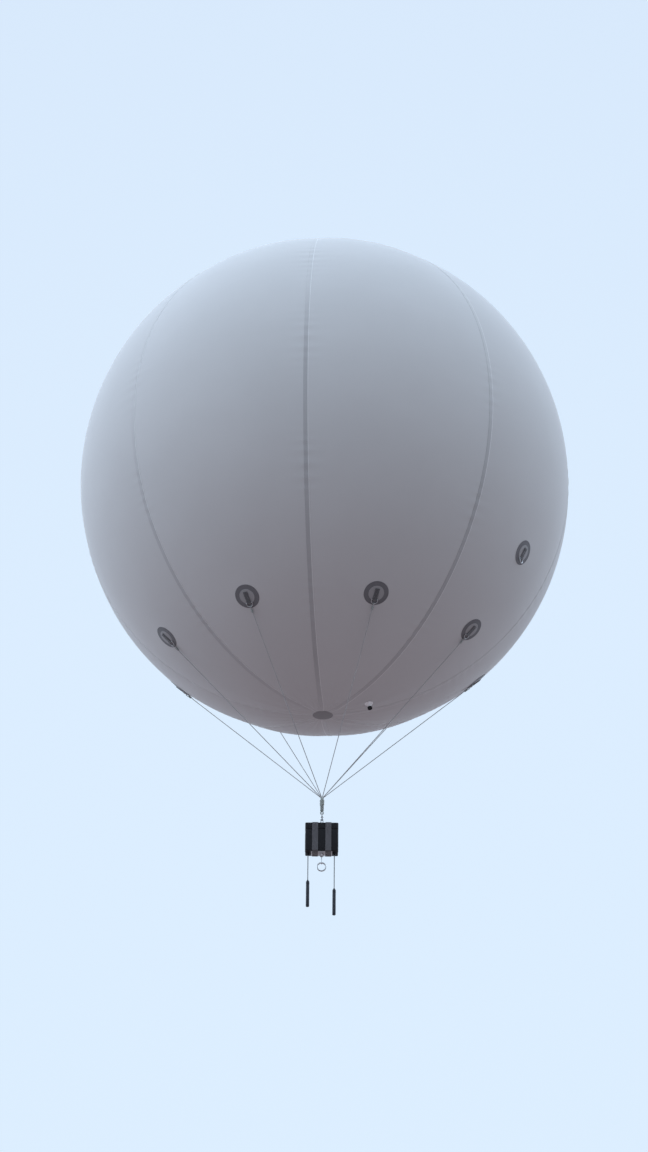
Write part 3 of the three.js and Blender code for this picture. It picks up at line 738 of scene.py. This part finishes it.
# Gathering knot
# The eight lines turn down into one bundle. A heavier rope is wound round its top, thin cord
# whips it further down, and an eye of rope at its foot takes the swivel.
KNOT_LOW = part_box("bridle_knot")[0].z
BUNDLE_FOOT = KNOT_LOW + 0.0215
STRAND_CIRCLE = 0.0068
STRAND_TURN = math.radians(9)
STRAND_ENTRY = 0.004
STRAND_START = 0.002
# Ways down from the junction, and ways out from the bundle's middle
STRAND_WAY = ((0.0, 0.0078), (0.01, 0.007), (0.03, STRAND_CIRCLE), (0.06, STRAND_CIRCLE),
              (0.09, STRAND_CIRCLE))
KNOT_EYE_MIDDLE = np.array([0.0, 0.0, KNOT_LOW + 0.0125])
KNOT_EYE_RADIUS = 0.009
KNOT_EYE_ROPE = 0.0034
# Half widths of the eye's feet, and their heights over its middle
KNOT_EYE_FOOT = ((0.0055, 0.0072), (0.004, 0.013), (0.0038, 0.03))


def smooth_line(points, count):
    """A curve through points, with even steps (a Catmull-Rom spline)."""
    p = np.asarray(points, float)
    p = np.concatenate([[2 * p[0] - p[1]], p, [2 * p[-1] - p[-2]]])
    pieces = []
    for i in range(1, len(p) - 2):
        t = np.linspace(0, 1, 24, endpoint=False)[:, None]
        a, b, c, d = p[i - 1:i + 3]
        pieces.append(0.5 * (2 * b + (c - a) * t + (2 * a - 5 * b + 4 * c - d) * t ** 2
                             + (3 * b - a - 3 * c + d) * t ** 3))
    curve = np.concatenate(pieces + [p[-2][None]])
    length = np.concatenate([[0], np.cumsum(np.linalg.norm(np.diff(curve, axis=0), axis=1))])
    even = np.linspace(0, length[-1], count)
    return np.stack([np.interp(even, length, curve[:, axis]) for axis in range(3)], axis=1)


def circle(middle, radius, across, step, first=0, last=360):
    """Points on an upright circle, by degrees from the way `across` toward +Z."""
    turns = np.radians(np.arange(first, last, step))
    return middle + radius * (np.outer(np.cos(turns), across) + np.outer(np.sin(turns), UP))


knot_rope = rope_material("knot_rope", (0.46, 0.5, 0.475), (0.38, 0.42, 0.395))
strands = []
for place in PATCH_PLACES[:GORES]:
    pull = pull_of(place)
    entry = JUNCTION - pull * LINE_END
    route = [entry - pull * STRAND_ENTRY, entry]
    for step, (drop, radius) in enumerate(STRAND_WAY):
        turn = place[0] + STRAND_TURN * step
        z = max(JUNCTION[2] - STRAND_START - drop, BUNDLE_FOOT)
        route.append(np.array([radius * math.sin(turn), -radius * math.cos(turn), z]))
    strands.append(tube(smooth_line(route, 44), LINE_RADIUS, laid=True))
piece("knot_strands", joined(strands), knot_rope, "envelope", "rope", "bridle_knot", sharp=80)
heavy = coil(JUNCTION - UP * 0.046, UP, radius=0.0118, cord=0.0026, turns=7, pitch=0.0053,
             steps=28, sides=10)
piece("knot_turns", heavy, knot_rope, "envelope", "rope", sharp=80)
thin = coil(JUNCTION - UP * 0.084, UP, radius=0.0104, cord=0.0011, turns=15, pitch=0.0023, steps=26)
piece("knot_whipping", thin, whipping, "envelope", "rope", sharp=80)
knot_eye = [tube(circle(KNOT_EYE_MIDDLE, KNOT_EYE_RADIUS, ACROSS, 9), KNOT_EYE_ROPE, closed=True)]
for side in (-1, 1):
    foot_line = [KNOT_EYE_MIDDLE + ACROSS * side * out + UP * rise for out, rise in KNOT_EYE_FOOT]
    knot_eye.append(tube(smooth_line(foot_line, 14), KNOT_EYE_ROPE, laid=True))
piece("knot_eye", joined(knot_eye), knot_rope, "envelope", "rope", sharp=80)

# Swivel
# Two forged halves, the lower one turning on a stem in the upper. Each has a round eye, and
# the barrel is turned smooth with a groove round each half.
TOP_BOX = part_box("swivel_top")
LOW_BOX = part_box("swivel_bottom")
SPLIT_Z = TOP_BOX[0].z
HALF_GAP = 0.0003
EYE_RING = 0.009
EYE_WIRE = 0.003
BARREL = 0.011
BARREL_LONG = 0.015
# The radius of an end's flat, and how far its bevel comes along the barrel
JOINT_END = (BARREL - 0.0014, 0.0006)
EYE_END = (0.006, 0.003)


def lathe(profile, around=40, middle=(0.0, 0.0)):
    """A closed turned form from (radius, height) pairs, first and last on the axis."""
    turns = np.linspace(0, 2 * np.pi, around, endpoint=False)
    points = [(r * math.cos(t) + middle[0], r * math.sin(t) + middle[1], z)
              for r, z in profile[1:-1] for t in turns]
    points += [(*middle, profile[0][1]), (*middle, profile[-1][1])]
    return np.array(points), turned_faces(len(profile) - 2, around)


def eye_loop(z, across, ring=EYE_RING):
    """A round eye of wire whose plane is upright."""
    return tube(circle(UP * z, ring, across, 8), EYE_WIRE, 16, closed=True)


def barrel(low, foot, head):
    """Half of the swivel's body: a turned barrel with a groove, an end of its own above and below."""
    high = low + BARREL_LONG
    return lathe([(0, low), (foot[0], low), (BARREL - 0.0012, low + foot[1]), (BARREL, low + 0.0036),
                  (BARREL, low + 0.006), (BARREL - 0.0006, low + 0.0066), (BARREL, low + 0.0072),
                  (BARREL, high - 0.0036), (BARREL - 0.0012, high - head[1]), (head[0], high), (0, high)])


upper_half = [barrel(SPLIT_Z, JOINT_END, EYE_END), eye_loop(TOP_BOX[1].z - EYE_RING - EYE_WIRE, BACK)]
piece("swivel_upper_half", joined(upper_half), steel, "envelope", "steel", "swivel_top")
lower_half = [barrel(SPLIT_Z - HALF_GAP - BARREL_LONG, EYE_END, JOINT_END),
              eye_loop(LOW_BOX[0].z + EYE_RING + EYE_WIRE, ACROSS)]
piece("swivel_lower_half", joined(lower_half), steel, "swivel", "steel", "swivel_bottom")

# Strap plates
# Two steel plates with rounded corners lie under the straps, above and below the case, and
# the tight straps hold them there. Each has a welded eye with a fillet round its foot.
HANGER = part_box("hanger_plate")
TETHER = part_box("tether_plate")
PLATE_THICK = 0.004
PLATE_CORNER = 0.006
PLATE_EDGE = 0.0008
TETHER_EYE_RING = 0.011
# The fillet's radii, and its heights over the plate
FILLET = ((0, -0.001), (0.0085, -0.0002), (0.007, 0.0008), (0.005, 0.002), (0, 0.003))


def slab(low, high, corner, edge, steps=6):
    """A box with round upright corners and a small round on its upper and lower edges."""
    (x0, y0, z0), (x1, y1, z1) = low, high
    rounds = [(edge * (1 - math.cos(t)), edge * (1 - math.sin(t))) for t in np.radians((0, 30, 60, 90))]
    levels = [(z0 + rise, inset) for rise, inset in rounds]
    levels += [(z1 - drop, inset) for drop, inset in rounds[::-1]]
    points = []
    for z, inset in levels:
        r = max(corner - inset, 0.0002)
        for cx, cy, first in ((x1 - corner, y1 - corner, 0), (x0 + corner, y1 - corner, 90),
                              (x0 + corner, y0 + corner, 180), (x1 - corner, y0 + corner, 270)):
            for turn in np.radians(np.linspace(first, first + 90, steps + 1)):
                points.append((cx + r * math.cos(turn), cy + r * math.sin(turn), z))
    return np.array(points), bar_faces(len(levels), 4 * (steps + 1))


plate_top = HANGER[0].z + PLATE_THICK
hanger = [slab(HANGER[0], (HANGER[1].x, HANGER[1].y, plate_top), PLATE_CORNER, PLATE_EDGE),
          eye_loop(HANGER[1].z - EYE_RING - EYE_WIRE, BACK),
          lathe([(r, plate_top + rise) for r, rise in FILLET], 28)]
piece("hanger_plate_dressed", joined(hanger), steel, "case", "steel", "hanger_plate")
plate_foot = TETHER[1].z - PLATE_THICK
tether_plate = [slab((TETHER[0].x, TETHER[0].y, plate_foot), TETHER[1], PLATE_CORNER, PLATE_EDGE),
                eye_loop(TETHER[0].z + TETHER_EYE_RING + EYE_WIRE, ACROSS, TETHER_EYE_RING),
                lathe([(r, plate_foot - rise) for r, rise in FILLET[::-1]], 28)]
piece("tether_plate_dressed", joined(tether_plate), steel, "case", "steel", "tether_plate")

# Case
# A moulded box of black plastic with stiffening ribs on its ends, and a lid that laps its
# rim. A dome-headed screw at each corner of the lid holds it down.
body_low, body_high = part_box("case_body")
lid_low, lid_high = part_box("case_lid")
RIB_PLACES = (-0.036, -0.018, 0.0, 0.018, 0.036)
RIB_HALF_WIDTH = 0.002
RIB_ROOT = 0.002
RIB_OUT = 0.0016
RIB_LOW = body_low.z + 0.02
RIB_HIGH = body_high.z - 0.03
PANEL_INSET = Vector((0.02, 0.02, 0))
PANEL_DEPTH = 0.002
PANEL_RAISED = 0.0001
SCREW_INSET = 0.011
SCREW_DOME = ((0, 0), (0.0042, 0), (0.0042, 0.0006), (0.0036, 0.0013), (0.0023, 0.0017), (0, 0.0018))
SCREW_SUNK = 0.0002

# Moulded skin: the fine spark texture of a tool, with scuffs where the edges rub
moulded, nodes, given, end = group_frame(
    "moulded skin", {"Grain": 0.0006, "Wear": 0.5}, {"Height": 0.0, "Scuff": 0.0})
spot = own_space(nodes)
grain = noise(nodes, spot, given["Grain"], in_Detail=2.0)
edges = ranged(nodes, node(nodes, "NewGeometry").outputs["Pointiness"], 0.0, 1.0, 0.53, 0.62)
patches = node(nodes, "TexNoise", in_Vector=spot, in_Scale=60.0, in_Detail=4.0).outputs["Fac"]
rubbed = maths(nodes, "MULTIPLY", edges, patches)
feed(end, Height=grain, Scuff=maths(nodes, "MULTIPLY", rubbed, given["Wear"], clamp=True))


def plastic_material(name, colour, worn_colour, rough, grain_depth, wear=1.2, shine=0.2):
    material, shader, nodes = new_material(name)
    skin = node(nodes, "Group", node_tree=moulded, in_Grain=0.0007, in_Wear=wear).outputs
    tint = mottled(nodes, colour, [c * 1.35 for c in colour], 0.08, 1.6)
    feed(shader, Base_Color=mix(nodes, skin["Scuff"], tint["Colour"], worn_colour),
         Roughness=ranged(nodes, tint["Mask"], rough - 0.05, rough + 0.08),
         Specular_IOR_Level=shine, Normal=bump(nodes, skin["Height"], 0.35, grain_depth))
    return material


black_plastic = plastic_material("black_plastic", (0.01, 0.01, 0.012), (0.05, 0.05, 0.055), 0.55, 0.0003)
body_parts = [slab(body_low, body_high, 0.009, 0.0025)]
for side in (-1, 1):
    x0, x1 = sorted((side * (body_high.x - RIB_ROOT), side * (body_high.x + RIB_OUT)))
    for y in RIB_PLACES:
        body_parts.append(slab((x0, y - RIB_HALF_WIDTH, RIB_LOW), (x1, y + RIB_HALF_WIDTH, RIB_HIGH),
                               0.0012, 0.0008, 3))
piece("case_body_moulding", joined(body_parts), black_plastic, "case", "black_plastic", "case_body")
panel_low = Vector((lid_low.x, lid_low.y, lid_high.z - PANEL_DEPTH)) + PANEL_INSET
panel_high = Vector((lid_high.x, lid_high.y, lid_high.z + PANEL_RAISED)) - PANEL_INSET
lid_parts = [slab(lid_low, lid_high, 0.0105, 0.003), slab(panel_low, panel_high, 0.008, 0.0001)]
piece("case_lid_moulding", joined(lid_parts), black_plastic, "case", "black_plastic", "case_lid")
screws = []
for x in (lid_low.x + SCREW_INSET, lid_high.x - SCREW_INSET):
    for y in (lid_low.y + SCREW_INSET, lid_high.y - SCREW_INSET):
        screws.append(lathe([(r, lid_high.z - SCREW_SUNK + rise) for r, rise in SCREW_DOME], 20, (x, y)))
piece("case_screws", joined(screws), steel, "case", "steel")

# Case straps
# Two 38 mm webbing straps are drawn tight round the lid, the foot of the body and both plates.
# Each is closed at the back by a lap of 76 mm, sewn with a boxed cross of heavy thread.
STRAP_HALF_WIDTH = 0.0188
STRAP_THICK = 0.0026
STRAP_OFF_CASE = 0.0003 + STRAP_THICK / 2
STRAP_STEP = 0.02
EDGE_ROUND = 0.0025
LAP_HALF_LENGTH = 0.038
LAP_MIDDLE = -0.01
LAP_NARROWER = 0.0002
LAP_THICK = STRAP_THICK * 0.9
LAP_OUT = STRAP_THICK * 0.95
LAP_END_OUT = STRAP_THICK * 0.35
CROSS_OUT = STRAP_THICK * 1.4
CROSS_HALF_LENGTH = 0.032
CROSS_HALF_WIDTH = 0.015

# The webbing's section in half widths and thicknesses, with a cord woven in along each edge
STRAP_SECTION = ((-1, 0), (-0.985, 0.5), (-0.9, 0.42), (-0.82, 0.5), (0, 0.5), (0.82, 0.5), (0.9, 0.42),
                 (0.985, 0.5), (1, 0), (0.985, -0.5), (0, -0.5), (-0.985, -0.5))

# From top to bottom, the middle of each round edge that a strap bears on at the back
bearings = [(HANGER[1].y - EDGE_ROUND, plate_top - EDGE_ROUND),
            (lid_high.y - EDGE_ROUND, lid_high.z - EDGE_ROUND),
            (lid_high.y - EDGE_ROUND, lid_low.z + EDGE_ROUND),
            (body_high.y - EDGE_ROUND, body_low.z + EDGE_ROUND),
            (TETHER[1].y - EDGE_ROUND, plate_foot + EDGE_ROUND)]


def tight_line(x, corners, radius, steps=6):
    """The closed line of a band drawn tight round corners that are named anticlockwise from +X."""
    centres = np.array(corners)
    onward = np.roll(centres, -1, axis=0) - centres
    facing = np.arctan2(-onward[:, 0], onward[:, 1])
    line = []
    for (y, z), before, after in zip(centres, np.roll(facing, 1), facing):
        turned = (after - before) % math.tau
        for step in range(steps + 1):
            angle = before + turned * step / steps
            line.append(np.array([x, y + radius * math.cos(angle), z + radius * math.sin(angle)]))
    return line


def strap_back(z):
    """How far back the middle of a strap lies at a height between the lid and the body's foot."""
    (lid_y, lid_z), (foot_y, foot_z) = bearings[2:4]
    return np.interp(z, (foot_z, lid_z), (foot_y, lid_y)) + EDGE_ROUND + STRAP_OFF_CASE


strap_webbing = webbing_material("strap_webbing", (0.13, 0.127, 0.137), (0.165, 0.16, 0.172), 0.0022)
for side_name in ("left", "right"):
    low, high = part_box(f"case_strap_{side_name}")
    x = (low.x + high.x) / 2
    loop = tight_line(x, bearings[::-1] + [(-y, z) for y, z in bearings], EDGE_ROUND + STRAP_OFF_CASE)
    dense = []
    for here, there in zip(loop, loop[1:] + loop[:1]):
        parts = max(1, int(math.dist(here, there) / STRAP_STEP))
        dense += [here + (there - here) * t / parts for t in range(parts)]
    strap = ribbon(dense, -ACROSS, STRAP_HALF_WIDTH, STRAP_THICK, STRAP_SECTION, closed=True)
    middle = (low.z + high.z) / 2 + LAP_MIDDLE
    lap_line = []
    for t in (-1, -0.95, -0.5, 0, 0.5, 0.95, 1):
        z = middle + t * LAP_HALF_LENGTH
        # The lap's ends are pressed down to the strap under it
        lap_line.append((x, strap_back(z) + (LAP_END_OUT if abs(t) == 1 else LAP_OUT), z))
    lap = ribbon(lap_line, ACROSS, STRAP_HALF_WIDTH - LAP_NARROWER, LAP_THICK)
    piece(f"case_strap_{side_name}_webbing", joined([strap, lap]), strap_webbing,
          "case", "webbing", f"case_strap_{side_name}", sharp=50)
    sewing = boxed_cross(lambda z, across: np.array([x + across, strap_back(z) + CROSS_OUT, z]),
                         middle + CROSS_HALF_LENGTH, middle - CROSS_HALF_LENGTH, CROSS_HALF_WIDTH, BACK)
    piece(f"case_strap_{side_name}_sewing", sewing, tab_thread, "case", "webbing", sharp=60)

# Antennas
# Each hangs from a nylon cable gland under the case on a thin grey lead, which its weight
# keeps straight. The rod is a sealed black tube with a stepped collar and a rounded foot.
NUT_TALL = 0.005
NUT_CORNER = 0.0156 / math.sqrt(3)
NUT_CHAMFER = 0.0008
# The gland's radii and its heights over its foot, from the mouth round the lead to the shoulder
GLAND_FOOT = ((0, 0), (0.0034, 0), (0.0034, -0.0015), (0.0036, -0.0019), (0.0041, -0.0021),
              (0.0048, -0.0019), (0.0053, -0.0013), (0.0057, -0.0002), (0.0064, 0.0004),
              (0.0074, 0.0016), (0.0079, 0.004))
# Radii and depths under the gland's top, from the shoulder to inside the nut
GLAND_HEAD = ((0.0079, 0.0056), (0.0068, 0.0052), (0.0068, 0.0048), (0, 0.0048))
ROD = 0.011
ROD_FOOT = 0.005
# The collar's radii, and its depths under the rod's top
COLLAR = ((ROD, 0.034), (ROD - 0.0005, 0.033), (ROD - 0.0005, 0.031), (ROD, 0.03), (ROD, 0.011),
          (ROD - 0.001, 0.009), (0.0062, 0.0075), (0.0058, 0.002), (0.0048, 0.0004), (0, 0))

gland_nylon = plastic_material("gland_nylon", (0.014, 0.014, 0.016), (0.05, 0.05, 0.055), 0.55, 0.0002)
antenna_plastic = plastic_material("antenna_tube", (0.022, 0.025, 0.034), (0.07, 0.07, 0.08),
                                   0.38, 0.00015, 0.8)
lead_sheath = rope_material("lead_sheath", (0.22, 0.23, 0.24), (0.18, 0.19, 0.2))

for side_name in ("left", "right"):
    low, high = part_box(f"antenna_gland_{side_name}")
    middle = ((low.x + high.x) / 2, (low.y + high.y) / 2)
    body = "antenna_l" if side_name == "left" else "antenna_r"
    nut_low = high.z - NUT_TALL
    nut = lathe([(0, nut_low), (NUT_CORNER - NUT_CHAMFER, nut_low), (NUT_CORNER, nut_low + NUT_CHAMFER),
                 (NUT_CORNER, high.z - NUT_CHAMFER), (NUT_CORNER - NUT_CHAMFER, high.z), (0, high.z)],
                6, middle)
    shell = lathe([(r, low.z + rise) for r, rise in GLAND_FOOT]
                  + [(r, high.z - drop) for r, drop in GLAND_HEAD], 36, middle)
    piece(f"gland_{side_name}", joined([nut, shell]), gland_nylon, "case", "gland_rubber",
          f"antenna_gland_{side_name}")
    low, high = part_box(f"antenna_lead_{side_name}")
    r = (high.x - low.x) / 2
    # The sheath is slightly uneven, and ends in a ball in the gland's mouth
    sheath = [(r * (0.97 + 0.03 * math.cos(z * 900)), z) for z in np.linspace(low.z, high.z - r, 40)]
    ball = [(r * math.cos(t), high.z - r + r * math.sin(t)) for t in np.radians((0, 22, 45, 67))]
    lead = lathe([(0, low.z), *sheath, *ball, (0, high.z)], 16, middle)
    piece(f"lead_{side_name}", lead, lead_sheath, body, "lead_sheath", f"antenna_lead_{side_name}", sharp=60)
    low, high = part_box(f"antenna_{side_name}")
    foot = [(ROD * math.sin(t), low.z + ROD_FOOT * (1 - math.cos(t)))
            for t in np.radians((20, 40, 60, 75, 90))]
    rod = lathe([(0, low.z), *foot, (ROD, low.z + 0.02), *[(r, high.z - drop) for r, drop in COLLAR]],
                48, middle)
    piece(f"antenna_tube_{side_name}", rod, antenna_plastic, body, "antenna_plastic", f"antenna_{side_name}")

# Tether link and ring
# A closed oval link hangs edge-on in the lower eye and carries a heavy round ring, where the
# tether is tied. Both are bent from bar, welded and plated.
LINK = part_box("tether_link")
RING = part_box("tether_ring")
LINK_BAR = 0.0025
RING_BAR = 0.0045
link_bow = (LINK[1].y - LINK[0].y) / 2 - LINK_BAR
link_foot = UP * (LINK[0].z + LINK_BAR + link_bow)
link_head = UP * (LINK[1].z - LINK_BAR - link_bow)
link_path = np.concatenate([circle(link_head, link_bow, BACK, 12, 0, 181),
                            circle(link_foot, link_bow, BACK, 12, 180, 361)])
link_tube = tube(link_path, LINK_BAR, 14, closed=True)
piece("tether_link_bar", link_tube, steel, "link", "steel", "tether_link")
ring_path = circle(UP * (RING[0].z + RING[1].z) / 2, (RING[1].x - RING[0].x) / 2 - RING_BAR, ACROSS, 6)
ring_tube = tube(ring_path, RING_BAR, 18, closed=True)
piece("tether_ring_bar", ring_tube, steel, "ring", "steel", "tether_ring")

# Fill valve
# A moulded white flange is bonded to the film near the bottom pole, between two welds, and a
# black screw cap with ribbed sides and a dished end closes its ringed neck.
VALVE_PLACE = (math.radians(66), math.radians(-78.5))
VALVE_FLANGE = 0.0275
VALVE_NECK = 0.0132
NECK_RING = VALVE_NECK + 0.0008
CAP_FOOT = 0.0245
CAP_HEAD = 0.0422
CAP_OUT = 0.0142
CAP_RIBS = 28
CAP_RIB_HALF_WIDTH = 0.0006
seat_high = float(film_radius(*VALVE_PLACE)) - RADIUS
NECK_PROFILE = ((0, seat_high), (VALVE_NECK + 0.005, seat_high + 0.002),
                (VALVE_NECK + 0.0015, seat_high + 0.0035), (VALVE_NECK, 0.006), (VALVE_NECK, 0.0125),
                (NECK_RING, 0.013), (NECK_RING, 0.0152), (VALVE_NECK, 0.0157),
                (VALVE_NECK, CAP_FOOT - 0.0026), (NECK_RING, CAP_FOOT - 0.0022),
                (NECK_RING, CAP_FOOT - 0.0004), (0, CAP_FOOT - 0.0004))
CAP_PROFILE = ((0, CAP_FOOT), (CAP_OUT - 0.001, CAP_FOOT), (CAP_OUT, CAP_FOOT + 0.0008),
               (CAP_OUT, CAP_HEAD - 0.0022), (CAP_OUT - 0.0008, CAP_HEAD - 0.0006),
               (CAP_OUT - 0.0024, CAP_HEAD), (CAP_OUT - 0.0048, CAP_HEAD),
               (CAP_OUT - 0.0058, CAP_HEAD - 0.0014), (0, CAP_HEAD - 0.0014))


def stand(place, part):
    """A turned form moved to a place on the envelope, its axis along the normal."""
    normal, _, across = site(*place)
    points, faces = part
    return at(place, 0.0, 0.0) + points @ np.array([across, np.cross(normal, across), normal]), faces


white_plastic = plastic_material("white_plastic", (0.82, 0.83, 0.84), (0.6, 0.6, 0.6),
                                 0.4, 0.0002, 0.3, 0.5)
valve = [bonded_disc(VALVE_PLACE, VALVE_FLANGE, 0.0002, 0.0024, 48), stand(VALVE_PLACE, lathe(NECK_PROFILE))]
piece("fill_valve_moulding", joined(valve), white_plastic, "envelope", "white_plastic", "fill_valve")
cap_parts = [lathe(CAP_PROFILE, 56)]
points, faces = slab((CAP_OUT - 0.0004, -CAP_RIB_HALF_WIDTH, CAP_FOOT + 0.0014),
                     (CAP_OUT + 0.0007, CAP_RIB_HALF_WIDTH, CAP_HEAD - 0.0032), 0.0005, 0.0003, 2)
for step in range(CAP_RIBS):
    spin = Matrix.Rotation(2 * math.pi * step / CAP_RIBS, 3, "Z")
    cap_parts.append((points @ np.array(spin).T, faces))
piece("valve_cap_moulding", stand(VALVE_PLACE, joined(cap_parts)), gland_nylon,
      "envelope", "black_plastic", "valve_cap")

# Stage
# A plain pale floor just under the camera, an even pale sky, and one very broad soft light
# from above and behind. The floor sends less light up than it shows, and is clear from below.
FLOOR_Z = -10.9
FLOOR_HALF = 90.0
FLOOR_SHOWN = (0.42, 0.355, 0.293)
FLOOR_SENT_UP = (0.232, 0.176, 0.166)
SKY_LOW = (0.735, 0.875, 1.0)
SKY_HIGH = (0.696, 0.824, 1.0)
SKY_HIGH_FROM = 0.8
SKY_BEHIND_CAMERA = 0.5
SKY_FULL_FROM = 0.9
LIGHT_STRENGTH = 3.95
LIGHT_COLOUR = (0.717, 0.85, 1.0)
LIGHT_SPREAD = math.radians(170)
LIGHT_FROM = Vector((-0.235, 0.495, 0.837))

floor_mesh = bpy.data.meshes.new("floor")
floor_corners = [(x * FLOOR_HALF, y * FLOOR_HALF, FLOOR_Z) for x, y in ((-1, -1), (1, -1), (1, 1), (-1, 1))]
floor_mesh.from_pydata(floor_corners, [], [(0, 1, 2, 3)])
floor = bpy.data.objects.new("floor", floor_mesh)
bpy.context.scene.collection.objects.link(floor)
floor_material, paint, nodes = new_material("floor")
to_camera = node(nodes, "LightPath").outputs["Is Camera Ray"]
feed(paint, Base_Color=mix(nodes, to_camera, FLOOR_SENT_UP, FLOOR_SHOWN), Roughness=0.9,
     Specular_IOR_Level=0.1)
from_below = node(nodes, "NewGeometry").outputs["Backfacing"]
clear = node(nodes, "BsdfTransparent").outputs[0]
either = node(nodes, "MixShader", in_0=from_below, in_1=paint.outputs[0], in_2=clear)
feed(nodes["Material Output"], Surface=either.outputs[0])
floor_mesh.materials.append(floor_material)

world = bpy.data.worlds.new("sky")
bpy.context.scene.world = world
world.use_nodes = True
nodes = world.node_tree.nodes
way = node(nodes, "SeparateXYZ", in_0=node(nodes, "TexCoord").outputs["Generated"]).outputs
rise = ranged(nodes, way["Z"], 0.0, 1.0, 0.0, SKY_HIGH_FROM)
feed(nodes["Background"], Color=mix(nodes, rise, SKY_LOW, SKY_HIGH),
     Strength=ranged(nodes, way["Y"], SKY_BEHIND_CAMERA, 1.0, -1.0, SKY_FULL_FROM))

light_data = bpy.data.lights.new("soft_light", "SUN")
light_data.energy = LIGHT_STRENGTH
light_data.color = LIGHT_COLOUR
light_data.angle = LIGHT_SPREAD
light = bpy.data.objects.new("soft_light", light_data)
light.rotation_euler = LIGHT_FROM.to_track_quat("Z", "Y").to_euler()
bpy.context.scene.collection.objects.link(light)
bpy.context.scene.view_settings.view_transform = "Standard"
